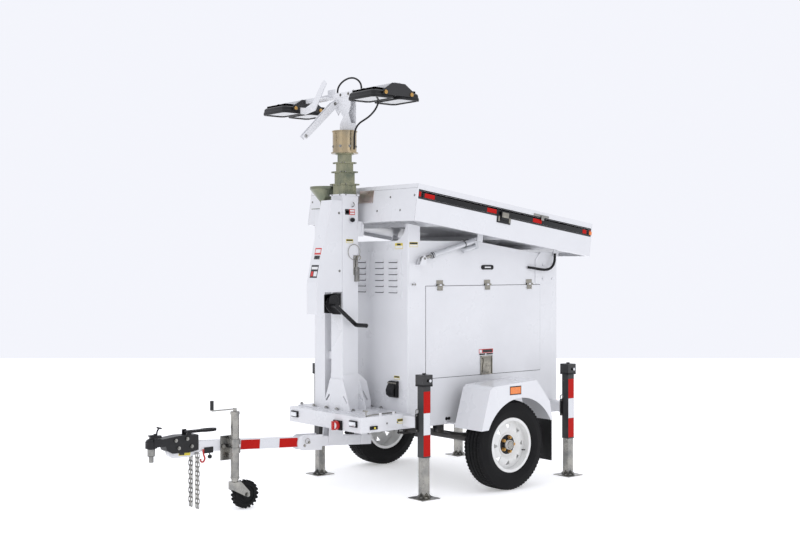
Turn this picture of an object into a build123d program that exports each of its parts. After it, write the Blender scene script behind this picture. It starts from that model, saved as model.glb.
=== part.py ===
from build123d import *

import os
from math import atan2, cos, degrees, hypot, radians, sin, tan

# Towed lighting tower: a slim battery cabinet on a single-axle chassis, with a telescopic mast at the
# front, a tilting box of solar panels on top, four outrigger jacks and a folding drawbar.
# Millimetres. +Z is up, -Y is the towing end, +X is the trailer's left side.
# The origin is on the ground, at the middle of the overall length and width.

os.makedirs("parts", exist_ok=True)

# ---- Driving dimensions ----
RUNNING_GAP = 0.3

# Chassis
CHASSIS_HALF = 459
CHASSIS_FRONT = -394
CHASSIS_REAR = 1666
CHASSIS_TOP = 607
CHASSIS_HEIGHT = 115
RAIL_WIDTH = 60
RAIL_WALL = 6
DECK_THICKNESS = 4
CROSS_WIDTH = 60

# Wheels and axle
AXLE_Y = 760
TRACK_HALF = 759
TYRE_RADIUS = 344
TYRE_WIDTH = 205
RIM_RADIUS = 191
RIM_FLANGE_RADIUS = 208
RIM_WIDTH = 168
HUB_BORE = 20
SPRING_HALF = 380
SPRING_EYE_Z = 448

# Outrigger jacks
JACK_FRONT_X = 657
JACK_REAR_X = 667
JACK_FRONT_Y = 41
JACK_REAR_Y = 1581
ARM_SIZE = 80
ARM_CENTRE_Z = 555
ARM_WALL = 5
ARM_CLEARANCE = 0.8
SLEEVE_WALL = 6
ARM_INNER_END = 40
JACK_TUBE = 68
JACK_WALL = 4
JACK_TUBE_BOTTOM = 302
JACK_CAP_BOTTOM = 825
JACK_CAP_TOP = 910
JACK_CAP_SIZE = JACK_TUBE + 22
LEG_CLEARANCE = 0.8
LEG_SIZE = JACK_TUBE - 2 * (JACK_WALL + LEG_CLEARANCE)
LEG_TOP = 640
FOOT_SIZE = 170
FOOT_THICKNESS = 6

# Cabinet
CABINET_FRONT = 54
CABINET_WALL = 4
CABINET_ROOF = 1900
ROOF_BEND_Y = 770
ROOF_REAR_Z = 1784
DOOR_FRONT = 224
DOOR_REAR = 1470
DOOR_BOTTOM = 850
DOOR_TOP = 1558
DOOR_GAP = 4
DOOR_DEPTH = 24
DOOR_SKIN = 3
DOOR_HINGE_X = CHASSIS_HALF + 11
DOOR_HINGE_Z = 1563
HINGE_BARREL = 7

# Solar panel box
PANEL_SLOPE = 7.7
PANEL_REAR_Y = 1834
PANEL_REAR_Z = 1786
PANEL_HALF = 677
PANEL_LENGTH = 1918
PANEL_HEIGHT = 275
PANEL_SHEET = 3
PANEL_FLOOR = 30
PANEL_LIP = 25
MODULE_HEIGHT = 32
FRAME_WIDTH = 28
LAMINATE = 5
WING_HEIGHT = 40
WING_LENGTH = PANEL_LENGTH - 96
WING_REACH = 1260
WING_RECESS = 17
LEFT_WING_Z = 176
RIGHT_WING_Z = 96
PANEL_HINGE_Y = 1640
PANEL_HINGE_Z = 1805
PIN_RADIUS = 8

# Tilt actuators
ACTUATOR_X = CHASSIS_HALF + 41
ACTUATOR_BASE = (165, 1765)
ACTUATOR_TOP = (725, 1915)
ACTUATOR_TUBE = 22
ACTUATOR_ROD = 13
EYE_RADIUS = 18
EYE_WIDTH = 30

# Mast
MAST_Y = -197
MAST_SIZE = 146
MAST_WALL = 5
MAST_TOP = 2243
SECTION_SIZES = (126, 110, 94, 78)
SECTION_TOPS = (2325, 2420, 2490, 2560)
SECTION_WALL = 4
COLLAR_THICKNESS = 12
COLLAR_MARGIN = 18
MAST_PLATE = 8
POST_X = -223
POST_SIZE = 134

# Lamp head
DRUM_RADIUS = 92
DRUM_TOP = 2741
HEAD_Y = -175
LAMP_SPACING = 121
LAMP_LENGTH = 330
LAMP_DEPTH = 205
LAMP_HEIGHT = 75
LAMP_BOTTOM = 2925
LEFT_LAMPS_X = 455
RIGHT_LAMPS_X = -690
BAR_BOTTOM = 3005
BAR_HEIGHT = 36
BAR_WIDTH = 50
YOKE_SHEET = 5

# Winch
HOUSING_HALF = 66
HOUSING_BOTTOM = 1347
HOUSING_FRONT = -503
HOUSING_TOP = 2206
HOUSING_TOP_FRONT = -369
HOUSING_KNEE_Z = 1585
HOUSING_SHEET = 3
CRANK_Y = -367
CRANK_Z = 1410
CRANK_LENGTH = 240

# Drawbar, coupling and jockey wheel
DRAWBAR_SLOPE = 3.47
FOLD_Y = -605
DRAWBAR_Z = 404
DRAWBAR_SIZE = 72
DRAWBAR_WALL = 5
FOLD_PIN_UP = 25
LOCK_PIN_DOWN = 27
DRAWBAR_LENGTH = 915
COUPLER_NOSE_Y = -1870
COUPLER_NOSE_RADIUS = 40
COUPLER_HALF = DRAWBAR_SIZE / 2 + 8
JOCKEY_X = 112
JOCKEY_Y = -1240
JOCKEY_TUBE = 30
JOCKEY_LEG = 25
JOCKEY_WHEEL_RADIUS = 100
JOCKEY_TRAIL = 80
LINK_INNER = 32
LINK_WIRE = 7
LINK_WIDTH = 24
LINKS = 12
CHAIN_Y = -1502
CHAIN_ROD_Z = DRAWBAR_Z + 41 - DRAWBAR_SIZE / 2
CHAIN_ROD_RADIUS = 4.5

# ---- Places worked out from the driving dimensions ----
RAIL_BOTTOM = CHASSIS_TOP - CHASSIS_HEIGHT
DECK_BOTTOM = CHASSIS_TOP - DECK_THICKNESS
SLEEVE_SIZE = ARM_SIZE + 2 * (ARM_CLEARANCE + SLEEVE_WALL)
PANEL_PLANE = Plane(
    origin=(0, PANEL_REAR_Y, PANEL_REAR_Z),
    x_dir=(1, 0, 0),
    z_dir=(0, sin(radians(PANEL_SLOPE)), cos(radians(PANEL_SLOPE))),
)
DRAWBAR_PLANE = Plane(
    origin=(0, FOLD_Y, DRAWBAR_Z),
    x_dir=(1, 0, 0),
    z_dir=(0, sin(radians(DRAWBAR_SLOPE)), cos(radians(DRAWBAR_SLOPE))),
)


# ---- Shapes used by many pieces ----
def brick(x, y, z, mode=Mode.ADD):
    """A box between two x, two y and two z values, in the piece being built."""
    with Locations(((x[0] + x[1]) / 2, (y[0] + y[1]) / 2, (z[0] + z[1]) / 2)):
        Box(abs(x[1] - x[0]), abs(y[1] - y[0]), abs(z[1] - z[0]), mode=mode)


def rod(axis, centre, radius, length, mode=Mode.ADD):
    """A cylinder centred on a point, along X, Y or Z."""
    turn = {"X": (0, 90, 0), "Y": (90, 0, 0), "Z": (0, 0, 0)}[axis]
    with Locations(centre):
        Cylinder(radius, length, rotation=turn, mode=mode)


def bolt_head(axis, centre, radius, height):
    """A hexagon head, centred on a point, along X, Y or Z."""
    plane = {"X": Plane.YZ, "Y": Plane.XZ, "Z": Plane.XY}[axis]
    with BuildSketch(Plane(origin=centre, x_dir=plane.x_dir, z_dir=plane.z_dir)) as head:
        RegularPolygon(radius, 6)
    extrude(head.sketch, amount=height / 2, both=True)


def square_tube(centre, size, wall, z_low, z_high):
    """An upright square tube."""
    half = size / 2
    x, y = centre
    brick((x - half, x + half), (y - half, y + half), (z_low, z_high))
    half = half - wall
    brick((x - half, x + half), (y - half, y + half), (z_low - 1, z_high + 1), Mode.SUBTRACT)


def panel_point(y, z):
    """A point of the row frame's YZ plane, in the solar box's own sloping plane."""
    local = PANEL_PLANE.to_local_coords(Vector(0, y, z))
    return local.Y, local.Z


def mirrored(piece):
    """The same piece for the other side of the trailer."""
    with BuildPart() as twin:
        mirror(piece.part, about=Plane.YZ)
    return twin


def save(piece, name):
    """Label a finished piece and write it to its own file."""
    piece.part.label = name
    export_step(piece.part, f"parts/{name}.step")


# ---- Chassis: two side channels, cross members, jack sleeves and a deck sheet ----
CROSS_FRONTS = (CHASSIS_FRONT, -70, 360, 1110, CHASSIS_REAR - 40)
rail_inner = CHASSIS_HALF - RAIL_WIDTH

with BuildPart() as chassis_frame:
    for side in (1, -1):
        outer = side * CHASSIS_HALF
        brick((side * rail_inner, outer), (CHASSIS_FRONT, CHASSIS_REAR), (RAIL_BOTTOM, DECK_BOTTOM))
        brick(
            (side * rail_inner, outer - side * RAIL_WALL),
            (CHASSIS_FRONT + CROSS_WIDTH, CHASSIS_REAR - CROSS_WIDTH),
            (RAIL_BOTTOM + RAIL_WALL, DECK_BOTTOM - RAIL_WALL),
            Mode.SUBTRACT,
        )
    for front in CROSS_FRONTS:
        rear = min(front + CROSS_WIDTH, CHASSIS_REAR)
        brick((-rail_inner, rail_inner), (front, rear), (RAIL_BOTTOM, DECK_BOTTOM))
        brick(
            (-rail_inner + RAIL_WALL, rail_inner - RAIL_WALL),
            (front + RAIL_WALL, rear - RAIL_WALL),
            (RAIL_BOTTOM + RAIL_WALL, DECK_BOTTOM - RAIL_WALL),
            Mode.SUBTRACT,
        )
    for y in (JACK_FRONT_Y, JACK_REAR_Y):
        half = SLEEVE_SIZE / 2
        brick(
            (-CHASSIS_HALF, CHASSIS_HALF),
            (y - half, y + half),
            (ARM_CENTRE_Z - half, ARM_CENTRE_Z + half),
        )
        half = half - SLEEVE_WALL
        brick(
            (-CHASSIS_HALF - 1, CHASSIS_HALF + 1),
            (y - half, y + half),
            (ARM_CENTRE_Z - half, ARM_CENTRE_Z + half),
            Mode.SUBTRACT,
        )
    brick((-CHASSIS_HALF, CHASSIS_HALF), (CHASSIS_FRONT, CHASSIS_REAR), (DECK_BOTTOM, CHASSIS_TOP))
save(chassis_frame, "chassis_frame")

# ---- Axle with its leaf springs and hangers ----
SPRING_X = CHASSIS_HALF - RAIL_WIDTH / 2
LEAF_WIDTH = 50
LEAF_THICKNESS = 8
AXLE_TUBE = 30
STUB_RADIUS = HUB_BORE - RUNNING_GAP
HANGER_SHEET = 6
spring_seat_z = TYRE_RADIUS + AXLE_TUBE

with BuildPart() as axle:
    rod("X", (0, AXLE_Y, TYRE_RADIUS), AXLE_TUBE, 2 * 640)
    rod("X", (0, AXLE_Y, TYRE_RADIUS), STUB_RADIUS, 2 * (TRACK_HALF + 5))
    for side in (1, -1):
        x = side * SPRING_X
        for leaf in range(3):
            reach = SPRING_HALF - 110 * leaf
            low = spring_seat_z + (2 - leaf) * LEAF_THICKNESS
            rise = (SPRING_EYE_Z - spring_seat_z - 2 * LEAF_THICKNESS) * (reach / SPRING_HALF) ** 2
            with BuildSketch(Plane.YZ.offset(x - LEAF_WIDTH / 2)):
                with BuildLine():
                    ThreePointArc(
                        (AXLE_Y - reach, low + rise),
                        (AXLE_Y, low),
                        (AXLE_Y + reach, low + rise),
                    )
                    Line((AXLE_Y + reach, low + rise), (AXLE_Y + reach, low + rise + LEAF_THICKNESS))
                    ThreePointArc(
                        (AXLE_Y + reach, low + rise + LEAF_THICKNESS),
                        (AXLE_Y, low + LEAF_THICKNESS),
                        (AXLE_Y - reach, low + rise + LEAF_THICKNESS),
                    )
                    Line((AXLE_Y - reach, low + rise + LEAF_THICKNESS), (AXLE_Y - reach, low + rise))
                make_face()
            extrude(amount=LEAF_WIDTH)
        brick(
            (x - 40, x + 40),
            (AXLE_Y - 55, AXLE_Y + 55),
            (spring_seat_z + 3 * LEAF_THICKNESS, spring_seat_z + 3 * LEAF_THICKNESS + 10),
        )
        for y in (AXLE_Y - 45, AXLE_Y + 45):
            for dx in (-33, 33):
                rod("Z", (x + dx, y, TYRE_RADIUS + 10), 6, 130)
        brick((x - 40, x + 40), (AXLE_Y - 55, AXLE_Y + 55), (TYRE_RADIUS - 48, TYRE_RADIUS - 38))
        for y in (AXLE_Y - SPRING_HALF, AXLE_Y + SPRING_HALF):
            rod("X", (x, y, SPRING_EYE_Z + 4), 16, LEAF_WIDTH)
            rod("X", (x, y, SPRING_EYE_Z + 4), 7, LEAF_WIDTH + 4 * HANGER_SHEET)
            for dx in (-LEAF_WIDTH / 2 - HANGER_SHEET, LEAF_WIDTH / 2):
                brick(
                    (x + dx, x + dx + HANGER_SHEET),
                    (y - 30, y + 30),
                    (SPRING_EYE_Z - 18, RAIL_BOTTOM),
                )
save(axle, "axle")

# ---- Wheels: tyre, pressed steel rim with hub, lug nuts and cap ----
NUT_CIRCLE = 56
RIM_WALL = 5
DISC_X = 28
OPENINGS_RADIUS = 142
bead = RIM_WIDTH / 2 - RIM_WALL - RUNNING_GAP
tyre_half = TYRE_WIDTH / 2
wheel_plane = Plane(origin=(TRACK_HALF, AXLE_Y, TYRE_RADIUS), x_dir=(1, 0, 0), z_dir=(0, -1, 0))
wheel_axis = Axis((TRACK_HALF, AXLE_Y, TYRE_RADIUS), (1, 0, 0))

with BuildPart() as tyre_left:
    with BuildSketch(wheel_plane):
        with BuildLine():
            seat = RIM_RADIUS + RUNNING_GAP
            lip = RIM_FLANGE_RADIUS + 2
            Line((-bead, seat), (bead, seat))
            Line((bead, seat), (bead, lip))
            ThreePointArc((bead, lip), (tyre_half, 268), (tyre_half - 14, TYRE_RADIUS - 16))
            ThreePointArc(
                (tyre_half - 14, TYRE_RADIUS - 16),
                (tyre_half - 20, TYRE_RADIUS - 5),
                (tyre_half - 32, TYRE_RADIUS - 2),
            )
            ThreePointArc(
                (tyre_half - 32, TYRE_RADIUS - 2),
                (0, TYRE_RADIUS),
                (-tyre_half + 32, TYRE_RADIUS - 2),
            )
            ThreePointArc(
                (-tyre_half + 32, TYRE_RADIUS - 2),
                (-tyre_half + 20, TYRE_RADIUS - 5),
                (-tyre_half + 14, TYRE_RADIUS - 16),
            )
            ThreePointArc((-tyre_half + 14, TYRE_RADIUS - 16), (-tyre_half, 268), (-bead, lip))
            Line((-bead, lip), (-bead, seat))
        make_face()
        with Locations((0, 256)):
            RectangleRounded(TYRE_WIDTH - 44, 118, 40, mode=Mode.SUBTRACT)
        with Locations((0, 205)):
            Rectangle(2 * bead - 50, 60, mode=Mode.SUBTRACT)
    revolve(axis=wheel_axis)

with BuildPart() as rim_left:
    half = RIM_WIDTH / 2
    with BuildSketch(wheel_plane):
        with Locations((0, RIM_RADIUS - RIM_WALL / 2)):
            Rectangle(RIM_WIDTH, RIM_WALL)
        for x in (half - RIM_WALL / 2, -half + RIM_WALL / 2):
            with Locations((x, (RIM_RADIUS + RIM_FLANGE_RADIUS) / 2 - 2)):
                Rectangle(RIM_WALL, RIM_FLANGE_RADIUS - RIM_RADIUS + 4)
        with BuildLine():
            Polyline(
                (DISC_X, 40),
                (DISC_X, 85),
                (DISC_X + 22, 110),
                (DISC_X - 5, RIM_RADIUS - 2),
                (DISC_X + 1, RIM_RADIUS - 2),
                (DISC_X + 29, 112),
                (DISC_X + 8, 82),
                (DISC_X + 8, 40),
                close=True,
            )
        make_face()
    revolve(axis=wheel_axis)
    with BuildSketch(Plane(origin=(TRACK_HALF, AXLE_Y, TYRE_RADIUS), x_dir=(0, 1, 0), z_dir=(1, 0, 0))):
        with PolarLocations(OPENINGS_RADIUS, 8):
            with Locations(Rotation(0, 0, 180)):
                RegularPolygon(26, 3)
    extrude(amount=half, mode=Mode.SUBTRACT)
    with Locations((TRACK_HALF - 12, AXLE_Y, TYRE_RADIUS)):
        Cylinder(62, 80, rotation=(0, 90, 0))
        Cylinder(HUB_BORE, 90, rotation=(0, 90, 0), mode=Mode.SUBTRACT)
    with Locations((TRACK_HALF + DISC_X + 20, AXLE_Y, TYRE_RADIUS)):
        Cylinder(36, 44, rotation=(0, 90, 0))
    with Locations((TRACK_HALF + DISC_X, AXLE_Y, TYRE_RADIUS)):
        Cylinder(HUB_BORE, 40, rotation=(0, 90, 0), mode=Mode.SUBTRACT)
    with BuildSketch(Plane(origin=(TRACK_HALF + DISC_X + 8, AXLE_Y, TYRE_RADIUS), x_dir=(0, 1, 0), z_dir=(1, 0, 0))):
        with PolarLocations(NUT_CIRCLE, 5):
            RegularPolygon(11, 6)
    extrude(amount=18)

for side, tyre, rim in (("left", tyre_left, rim_left), ("right", mirrored(tyre_left), mirrored(rim_left))):
    save(tyre, f"tyre_{side}")
    save(rim, f"rim_{side}")

# ---- Fenders: bent sheet over each wheel, a side skin with the wheel arch, brackets and mud flap ----
FENDER_INNER = 570
FENDER_OUTER = 872
FENDER_SHEET = 3
FENDER_PROFILE = ((420, 480), (510, 780), (545, 802), (1000, 828), (1150, 655), (1180, 505))
ARCH_Y = 832
ARCH_Z = 330
ARCH_RADIUS = 372
FLAP_BOTTOM = 185
FLAP_THICKNESS = 8

with BuildPart() as fenders:
    for side in (1, -1):
        with BuildSketch(Plane.YZ.offset(side * FENDER_INNER)):
            with BuildLine():
                Polyline(*FENDER_PROFILE)
                offset(amount=-FENDER_SHEET, side=Side.RIGHT)
            make_face()
        extrude(amount=side * (FENDER_OUTER - FENDER_INNER))
        with BuildSketch(Plane.YZ.offset(side * FENDER_OUTER)):
            with BuildLine():
                Polyline(*FENDER_PROFILE, close=True)
            make_face()
            with Locations((ARCH_Y, ARCH_Z)):
                Circle(ARCH_RADIUS, mode=Mode.SUBTRACT)
        extrude(amount=-side * FENDER_SHEET)
        for y, z_low, z_high in ((430, 500, 560), (1130, 520, 600)):
            brick(
                (side * CHASSIS_HALF, side * (FENDER_INNER + 30)),
                (y, y + 40),
                (z_low, z_low + 6),
            )
            brick((side * CHASSIS_HALF, side * (CHASSIS_HALF + 6)), (y - 10, y + 50), (z_low, z_high))
        flap_y = FENDER_PROFILE[-1][0] + RUNNING_GAP
        brick(
            (side * (FENDER_INNER + 50), side * (FENDER_OUTER - 15)),
            (flap_y, flap_y + FLAP_THICKNESS),
            (FLAP_BOTTOM, FENDER_PROFILE[-1][1] + 25),
        )
save(fenders, "fenders")

# ---- Outriggers: a square arm that slides in the chassis, with a jack tube on its end ----
FLANGE_THICKNESS = 12


def outrigger(x, y):
    """The arm, its flange and the outer tube of one jack on the +X side."""
    with BuildPart() as piece:
        half = ARM_SIZE / 2
        arm_end = x - JACK_TUBE / 2 - FLANGE_THICKNESS
        brick((ARM_INNER_END, arm_end), (y - half, y + half), (ARM_CENTRE_Z - half, ARM_CENTRE_Z + half))
        half = half - ARM_WALL
        brick(
            (ARM_INNER_END - 1, arm_end),
            (y - half, y + half),
            (ARM_CENTRE_Z - half, ARM_CENTRE_Z + half),
            Mode.SUBTRACT,
        )
        brick((arm_end, arm_end + FLANGE_THICKNESS), (y - 48, y + 48), (ARM_CENTRE_Z - 70, ARM_CENTRE_Z + 66))
        square_tube((x, y), JACK_TUBE, JACK_WALL, JACK_TUBE_BOTTOM, JACK_CAP_BOTTOM)
        half = JACK_CAP_SIZE / 2
        brick((x - half, x + half), (y - half, y + half), (JACK_CAP_BOTTOM, JACK_CAP_TOP))
        half = JACK_TUBE / 2 - JACK_WALL
        brick((x - half, x + half), (y - half, y + half), (JACK_CAP_BOTTOM - 1, JACK_CAP_TOP - 10), Mode.SUBTRACT)
        rod("Z", (x, y, JACK_CAP_TOP + 5), 14, 12)
        rod("X", (x, y, (JACK_CAP_BOTTOM + JACK_CAP_TOP) / 2), 12, JACK_CAP_SIZE + 2, Mode.SUBTRACT)
    return piece


def jack_leg(x, y):
    """The inner leg of one jack, with its foot plate and ribs."""
    with BuildPart() as piece:
        half = FOOT_SIZE / 2
        brick((x - half, x + half), (y - half, y + half), (0, FOOT_THICKNESS))
        half = LEG_SIZE / 2
        brick((x - half, x + half), (y - half, y + half), (FOOT_THICKNESS, LEG_TOP))
        half = half - JACK_WALL
        brick((x - half, x + half), (y - half, y + half), (FOOT_THICKNESS, LEG_TOP + 1), Mode.SUBTRACT)
        for turn in range(4):
            with BuildSketch(Plane(origin=(x, y, 0), x_dir=Vector(1, 0, 0).rotate(Axis.Z, 90 * turn),
                                   z_dir=Vector(0, -1, 0).rotate(Axis.Z, 90 * turn))):
                with BuildLine():
                    Polyline(
                        (LEG_SIZE / 2 - 1, FOOT_THICKNESS - 1),
                        (FOOT_SIZE / 2 - 8, FOOT_THICKNESS - 1),
                        (LEG_SIZE / 2 - 1, 46),
                        close=True,
                    )
                make_face()
            extrude(amount=3, both=True)
    return piece


for end, x, y in (("front", JACK_FRONT_X, JACK_FRONT_Y), ("rear", JACK_REAR_X, JACK_REAR_Y)):
    arm = outrigger(x, y)
    leg = jack_leg(x, y)
    save(arm, f"outrigger_{end}_left")
    save(leg, f"jack_leg_{end}_left")
    save(mirrored(arm), f"outrigger_{end}_right")
    save(mirrored(leg), f"jack_leg_{end}_right")

# ---- Cabinet: folded sheet housing with two door openings and two vents ----
VENT_LOW = 1490
VENT_HIGH = 1806
CABINET_PROFILE = (
    (CABINET_FRONT, CHASSIS_TOP),
    (CHASSIS_REAR, CHASSIS_TOP),
    (CHASSIS_REAR, ROOF_REAR_Z),
    (ROOF_BEND_Y, CABINET_ROOF),
    (CABINET_FRONT, CABINET_ROOF),
)

with BuildPart() as cabinet_shell:
    with BuildSketch(Plane.YZ):
        with BuildLine():
            Polyline(*CABINET_PROFILE, close=True)
        make_face()
    extrude(amount=CHASSIS_HALF, both=True)
    fillet(cabinet_shell.edges().filter_by(Axis.Z).group_by(Axis.Y)[0], 10)
    with BuildSketch(Plane.YZ) as cabinet_inside:
        with BuildLine():
            Polyline(*CABINET_PROFILE, close=True)
        make_face()
        offset(amount=-CABINET_WALL, kind=Kind.INTERSECTION, mode=Mode.REPLACE)
    extrude(cabinet_inside.sketch, amount=CHASSIS_HALF - CABINET_WALL, both=True, mode=Mode.SUBTRACT)
    brick(
        (-CHASSIS_HALF - 1, CHASSIS_HALF + 1),
        (DOOR_FRONT, DOOR_REAR),
        (DOOR_BOTTOM, DOOR_TOP),
        Mode.SUBTRACT,
    )
    for x in (35, -355):
        brick((x, x + 320), (CABINET_FRONT - 1, CABINET_FRONT + CABINET_WALL + 1), (VENT_LOW, VENT_HIGH), Mode.SUBTRACT)
save(cabinet_shell, "cabinet_shell")

# ---- Cabinet fittings: vent covers, panel rests, panel hinge plates, actuator brackets, door hinges ----
LOUVRE_ROWS = 6
LOUVRE_PITCH = 46
LOUVRE_FIRST_Z = 1508
REST_FRONT = CABINET_FRONT
REST_REAR = 170
REST_WIDTH = 140
REST_TOP_WIDTH = 35
REST_TOP = 2060
BRACKET_SHEET = 6
BRACKET_FACE = CHASSIS_HALF + BRACKET_SHEET
EAR_NEAR = ACTUATOR_X - EYE_WIDTH / 2 - BRACKET_SHEET
EAR_FAR = ACTUATOR_X + EYE_WIDTH / 2
HINGE_STATIONS = (330, 830, 1300)

with BuildPart() as cabinet_fittings:
    for side in (1, -1):
        with BuildSketch(Plane.XZ.offset(-REST_FRONT)):
            with BuildLine():
                rest_inner = side * (CHASSIS_HALF - REST_WIDTH)
                rest_top = side * (CHASSIS_HALF - REST_TOP_WIDTH)
                Line((rest_inner, CABINET_ROOF), (side * CHASSIS_HALF, CABINET_ROOF))
                Line((side * CHASSIS_HALF, CABINET_ROOF), (side * CHASSIS_HALF, REST_TOP))
                Line((side * CHASSIS_HALF, REST_TOP), (rest_top, REST_TOP))
                ThreePointArc((rest_top, REST_TOP), (rest_top - side * 20, 1950), (rest_inner, CABINET_ROOF))
            make_face()
        extrude(amount=-(REST_REAR - REST_FRONT))
    with Locations(PANEL_PLANE.location * Location((0, -PANEL_LENGTH / 2, 100 - RUNNING_GAP))):
        Box(2 * PANEL_HALF, PANEL_LENGTH + 100, 200, mode=Mode.SUBTRACT)
    for side in (1, -1):
        face = side * CHASSIS_HALF
        # Rear hinge plate, with the hole for the panel box's pin
        with BuildSketch(Plane.YZ.offset(face)):
            with BuildLine():
                Polyline((1410, 1568), (1656, 1568), (1656, 1800), (1640, 1822), (1470, 1822), (1410, 1760), close=True)
            make_face()
            with Locations((PANEL_HINGE_Y, PANEL_HINGE_Z)):
                Circle(PIN_RADIUS + RUNNING_GAP, mode=Mode.SUBTRACT)
        extrude(amount=side * BRACKET_SHEET)
        for y in (1500, 1610):
            for z in (1600, 1720):
                bolt_head("X", (side * (BRACKET_FACE + 4), y, z), 12, 8)
        # Actuator bracket: wall plate, shelf and two ears
        brick((face, side * BRACKET_FACE), (60, 178), (1545, 1735))
        brick((face, side * (EAR_FAR + BRACKET_SHEET)), (118, 178), (1712, 1720))
        for ear in (EAR_NEAR, EAR_FAR):
            with BuildSketch(Plane.YZ.offset(side * ear)):
                with BuildLine():
                    Polyline((118, 1712), (178, 1712), (190, 1765), (165, 1788), (140, 1765), close=True)
                make_face()
                with Locations(ACTUATOR_BASE):
                    Circle(PIN_RADIUS + RUNNING_GAP, mode=Mode.SUBTRACT)
            extrude(amount=side * BRACKET_SHEET)
        for y in (85, 110):
            bolt_head("X", (side * (BRACKET_FACE + 4), y, 1570), 12, 8)
        # Fixed leaf and barrel of each door hinge
        for y in HINGE_STATIONS:
            brick((face, face + side * 3), (y, y + 70), (DOOR_HINGE_Z, DOOR_HINGE_Z + 38))
            rod("Y", (side * DOOR_HINGE_X, y + 35, DOOR_HINGE_Z), HINGE_BARREL, 70)
            brick(
                (face, side * DOOR_HINGE_X),
                (y, y + 70),
                (DOOR_HINGE_Z + HINGE_BARREL - 4, DOOR_HINGE_Z + HINGE_BARREL),
            )
    # Two bolted vent covers on the front
    for x in (6, -384):
        brick((x, x + 378), (CABINET_FRONT - 3, CABINET_FRONT), (1463, 1833))
        for column in (55, 222):
            for row in range(LOUVRE_ROWS):
                z = LOUVRE_FIRST_Z + row * LOUVRE_PITCH
                with BuildSketch(Plane.YZ.offset(x + column)):
                    with BuildLine():
                        Polyline(
                            (CABINET_FRONT - 2, z + 24),
                            (CABINET_FRONT - 14, z),
                            (CABINET_FRONT - 11, z),
                            (CABINET_FRONT - 2, z + 18),
                            close=True,
                        )
                    make_face()
                extrude(amount=108)
        for bolt_x in (x + 18, x + 360):
            for bolt_z in (1480, 1816):
                bolt_head("Y", (bolt_x, CABINET_FRONT - 5, bolt_z), 9, 5)
save(cabinet_fittings, "cabinet_fittings")

# ---- Side doors: top-hung pans with a pull latch at the bottom ----
LATCH_Y = 854
LATCH_Z = 925
LATCH_WIDTH = 120
LATCH_HEIGHT = 140
PADDLE_GAP = 0.5
door_inner = CHASSIS_HALF - DOOR_DEPTH
door_outer = CHASSIS_HALF + DOOR_SKIN

with BuildPart() as door_left:
    y_span = (DOOR_FRONT + DOOR_GAP, DOOR_REAR - DOOR_GAP)
    z_span = (DOOR_BOTTOM + DOOR_GAP, DOOR_TOP - DOOR_GAP)
    brick((door_inner, door_outer), y_span, z_span)
    brick(
        (door_inner - 1, door_outer - DOOR_SKIN),
        (y_span[0] + DOOR_SKIN, y_span[1] - DOOR_SKIN),
        (z_span[0] + DOOR_SKIN, z_span[1] - DOOR_SKIN),
        Mode.SUBTRACT,
    )
    leaf_top = DOOR_HINGE_Z - HINGE_BARREL + 1.7
    for y in HINGE_STATIONS:
        brick((door_outer - 1, door_outer + 3), (y + 6, y + 64), (z_span[1] - 34, leaf_top))
    # Latch dish
    brick(
        (door_outer - 1, door_outer + 3),
        (LATCH_Y - LATCH_WIDTH / 2, LATCH_Y + LATCH_WIDTH / 2),
        (LATCH_Z - LATCH_HEIGHT / 2, LATCH_Z + LATCH_HEIGHT / 2),
    )

with BuildPart() as door_latch_left:
    inner = door_outer + 3 + PADDLE_GAP
    brick(
        (inner, inner + 6),
        (LATCH_Y - LATCH_WIDTH / 2 + 15, LATCH_Y + LATCH_WIDTH / 2 - 15),
        (LATCH_Z - LATCH_HEIGHT / 2 + 15, LATCH_Z + LATCH_HEIGHT / 2 - 12),
    )
    rod("Y", (inner + 5, LATCH_Y, LATCH_Z + LATCH_HEIGHT / 2 - 14), 5, LATCH_WIDTH - 26)

for side, door, latch in (
    ("left", door_left, door_latch_left),
    ("right", mirrored(door_left), mirrored(door_latch_left)),
):
    save(door, f"door_{side}")
    save(latch, f"door_latch_{side}")

# ---- Battery bank with its tray, and the charge controller above it ----
BATTERY_COUNT = 4
BATTERY_PITCH = 290
floor_top = CHASSIS_TOP + CABINET_WALL

with BuildPart() as battery_bank:
    brick((-300, 300), (250, 1450), (floor_top, floor_top + 5))
    for number in range(BATTERY_COUNT):
        y = 270 + number * BATTERY_PITCH
        brick((-270, 270), (y, y + 240), (floor_top + 5, floor_top + 235))
        for x in (-220, 220):
            rod("Z", (x, y + 120, floor_top + 245), 10, 20)
    brick((-200, 200), (CHASSIS_REAR - CABINET_WALL - 110, CHASSIS_REAR - CABINET_WALL), (1200, 1640))
save(battery_bank, "battery_bank")

# ---- Electrical fittings: lights, charging inlet and the base of the battery isolator ----
ISOLATOR_X = 188
ISOLATOR_Z = 528
ISOLATOR_RADIUS = 34

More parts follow.
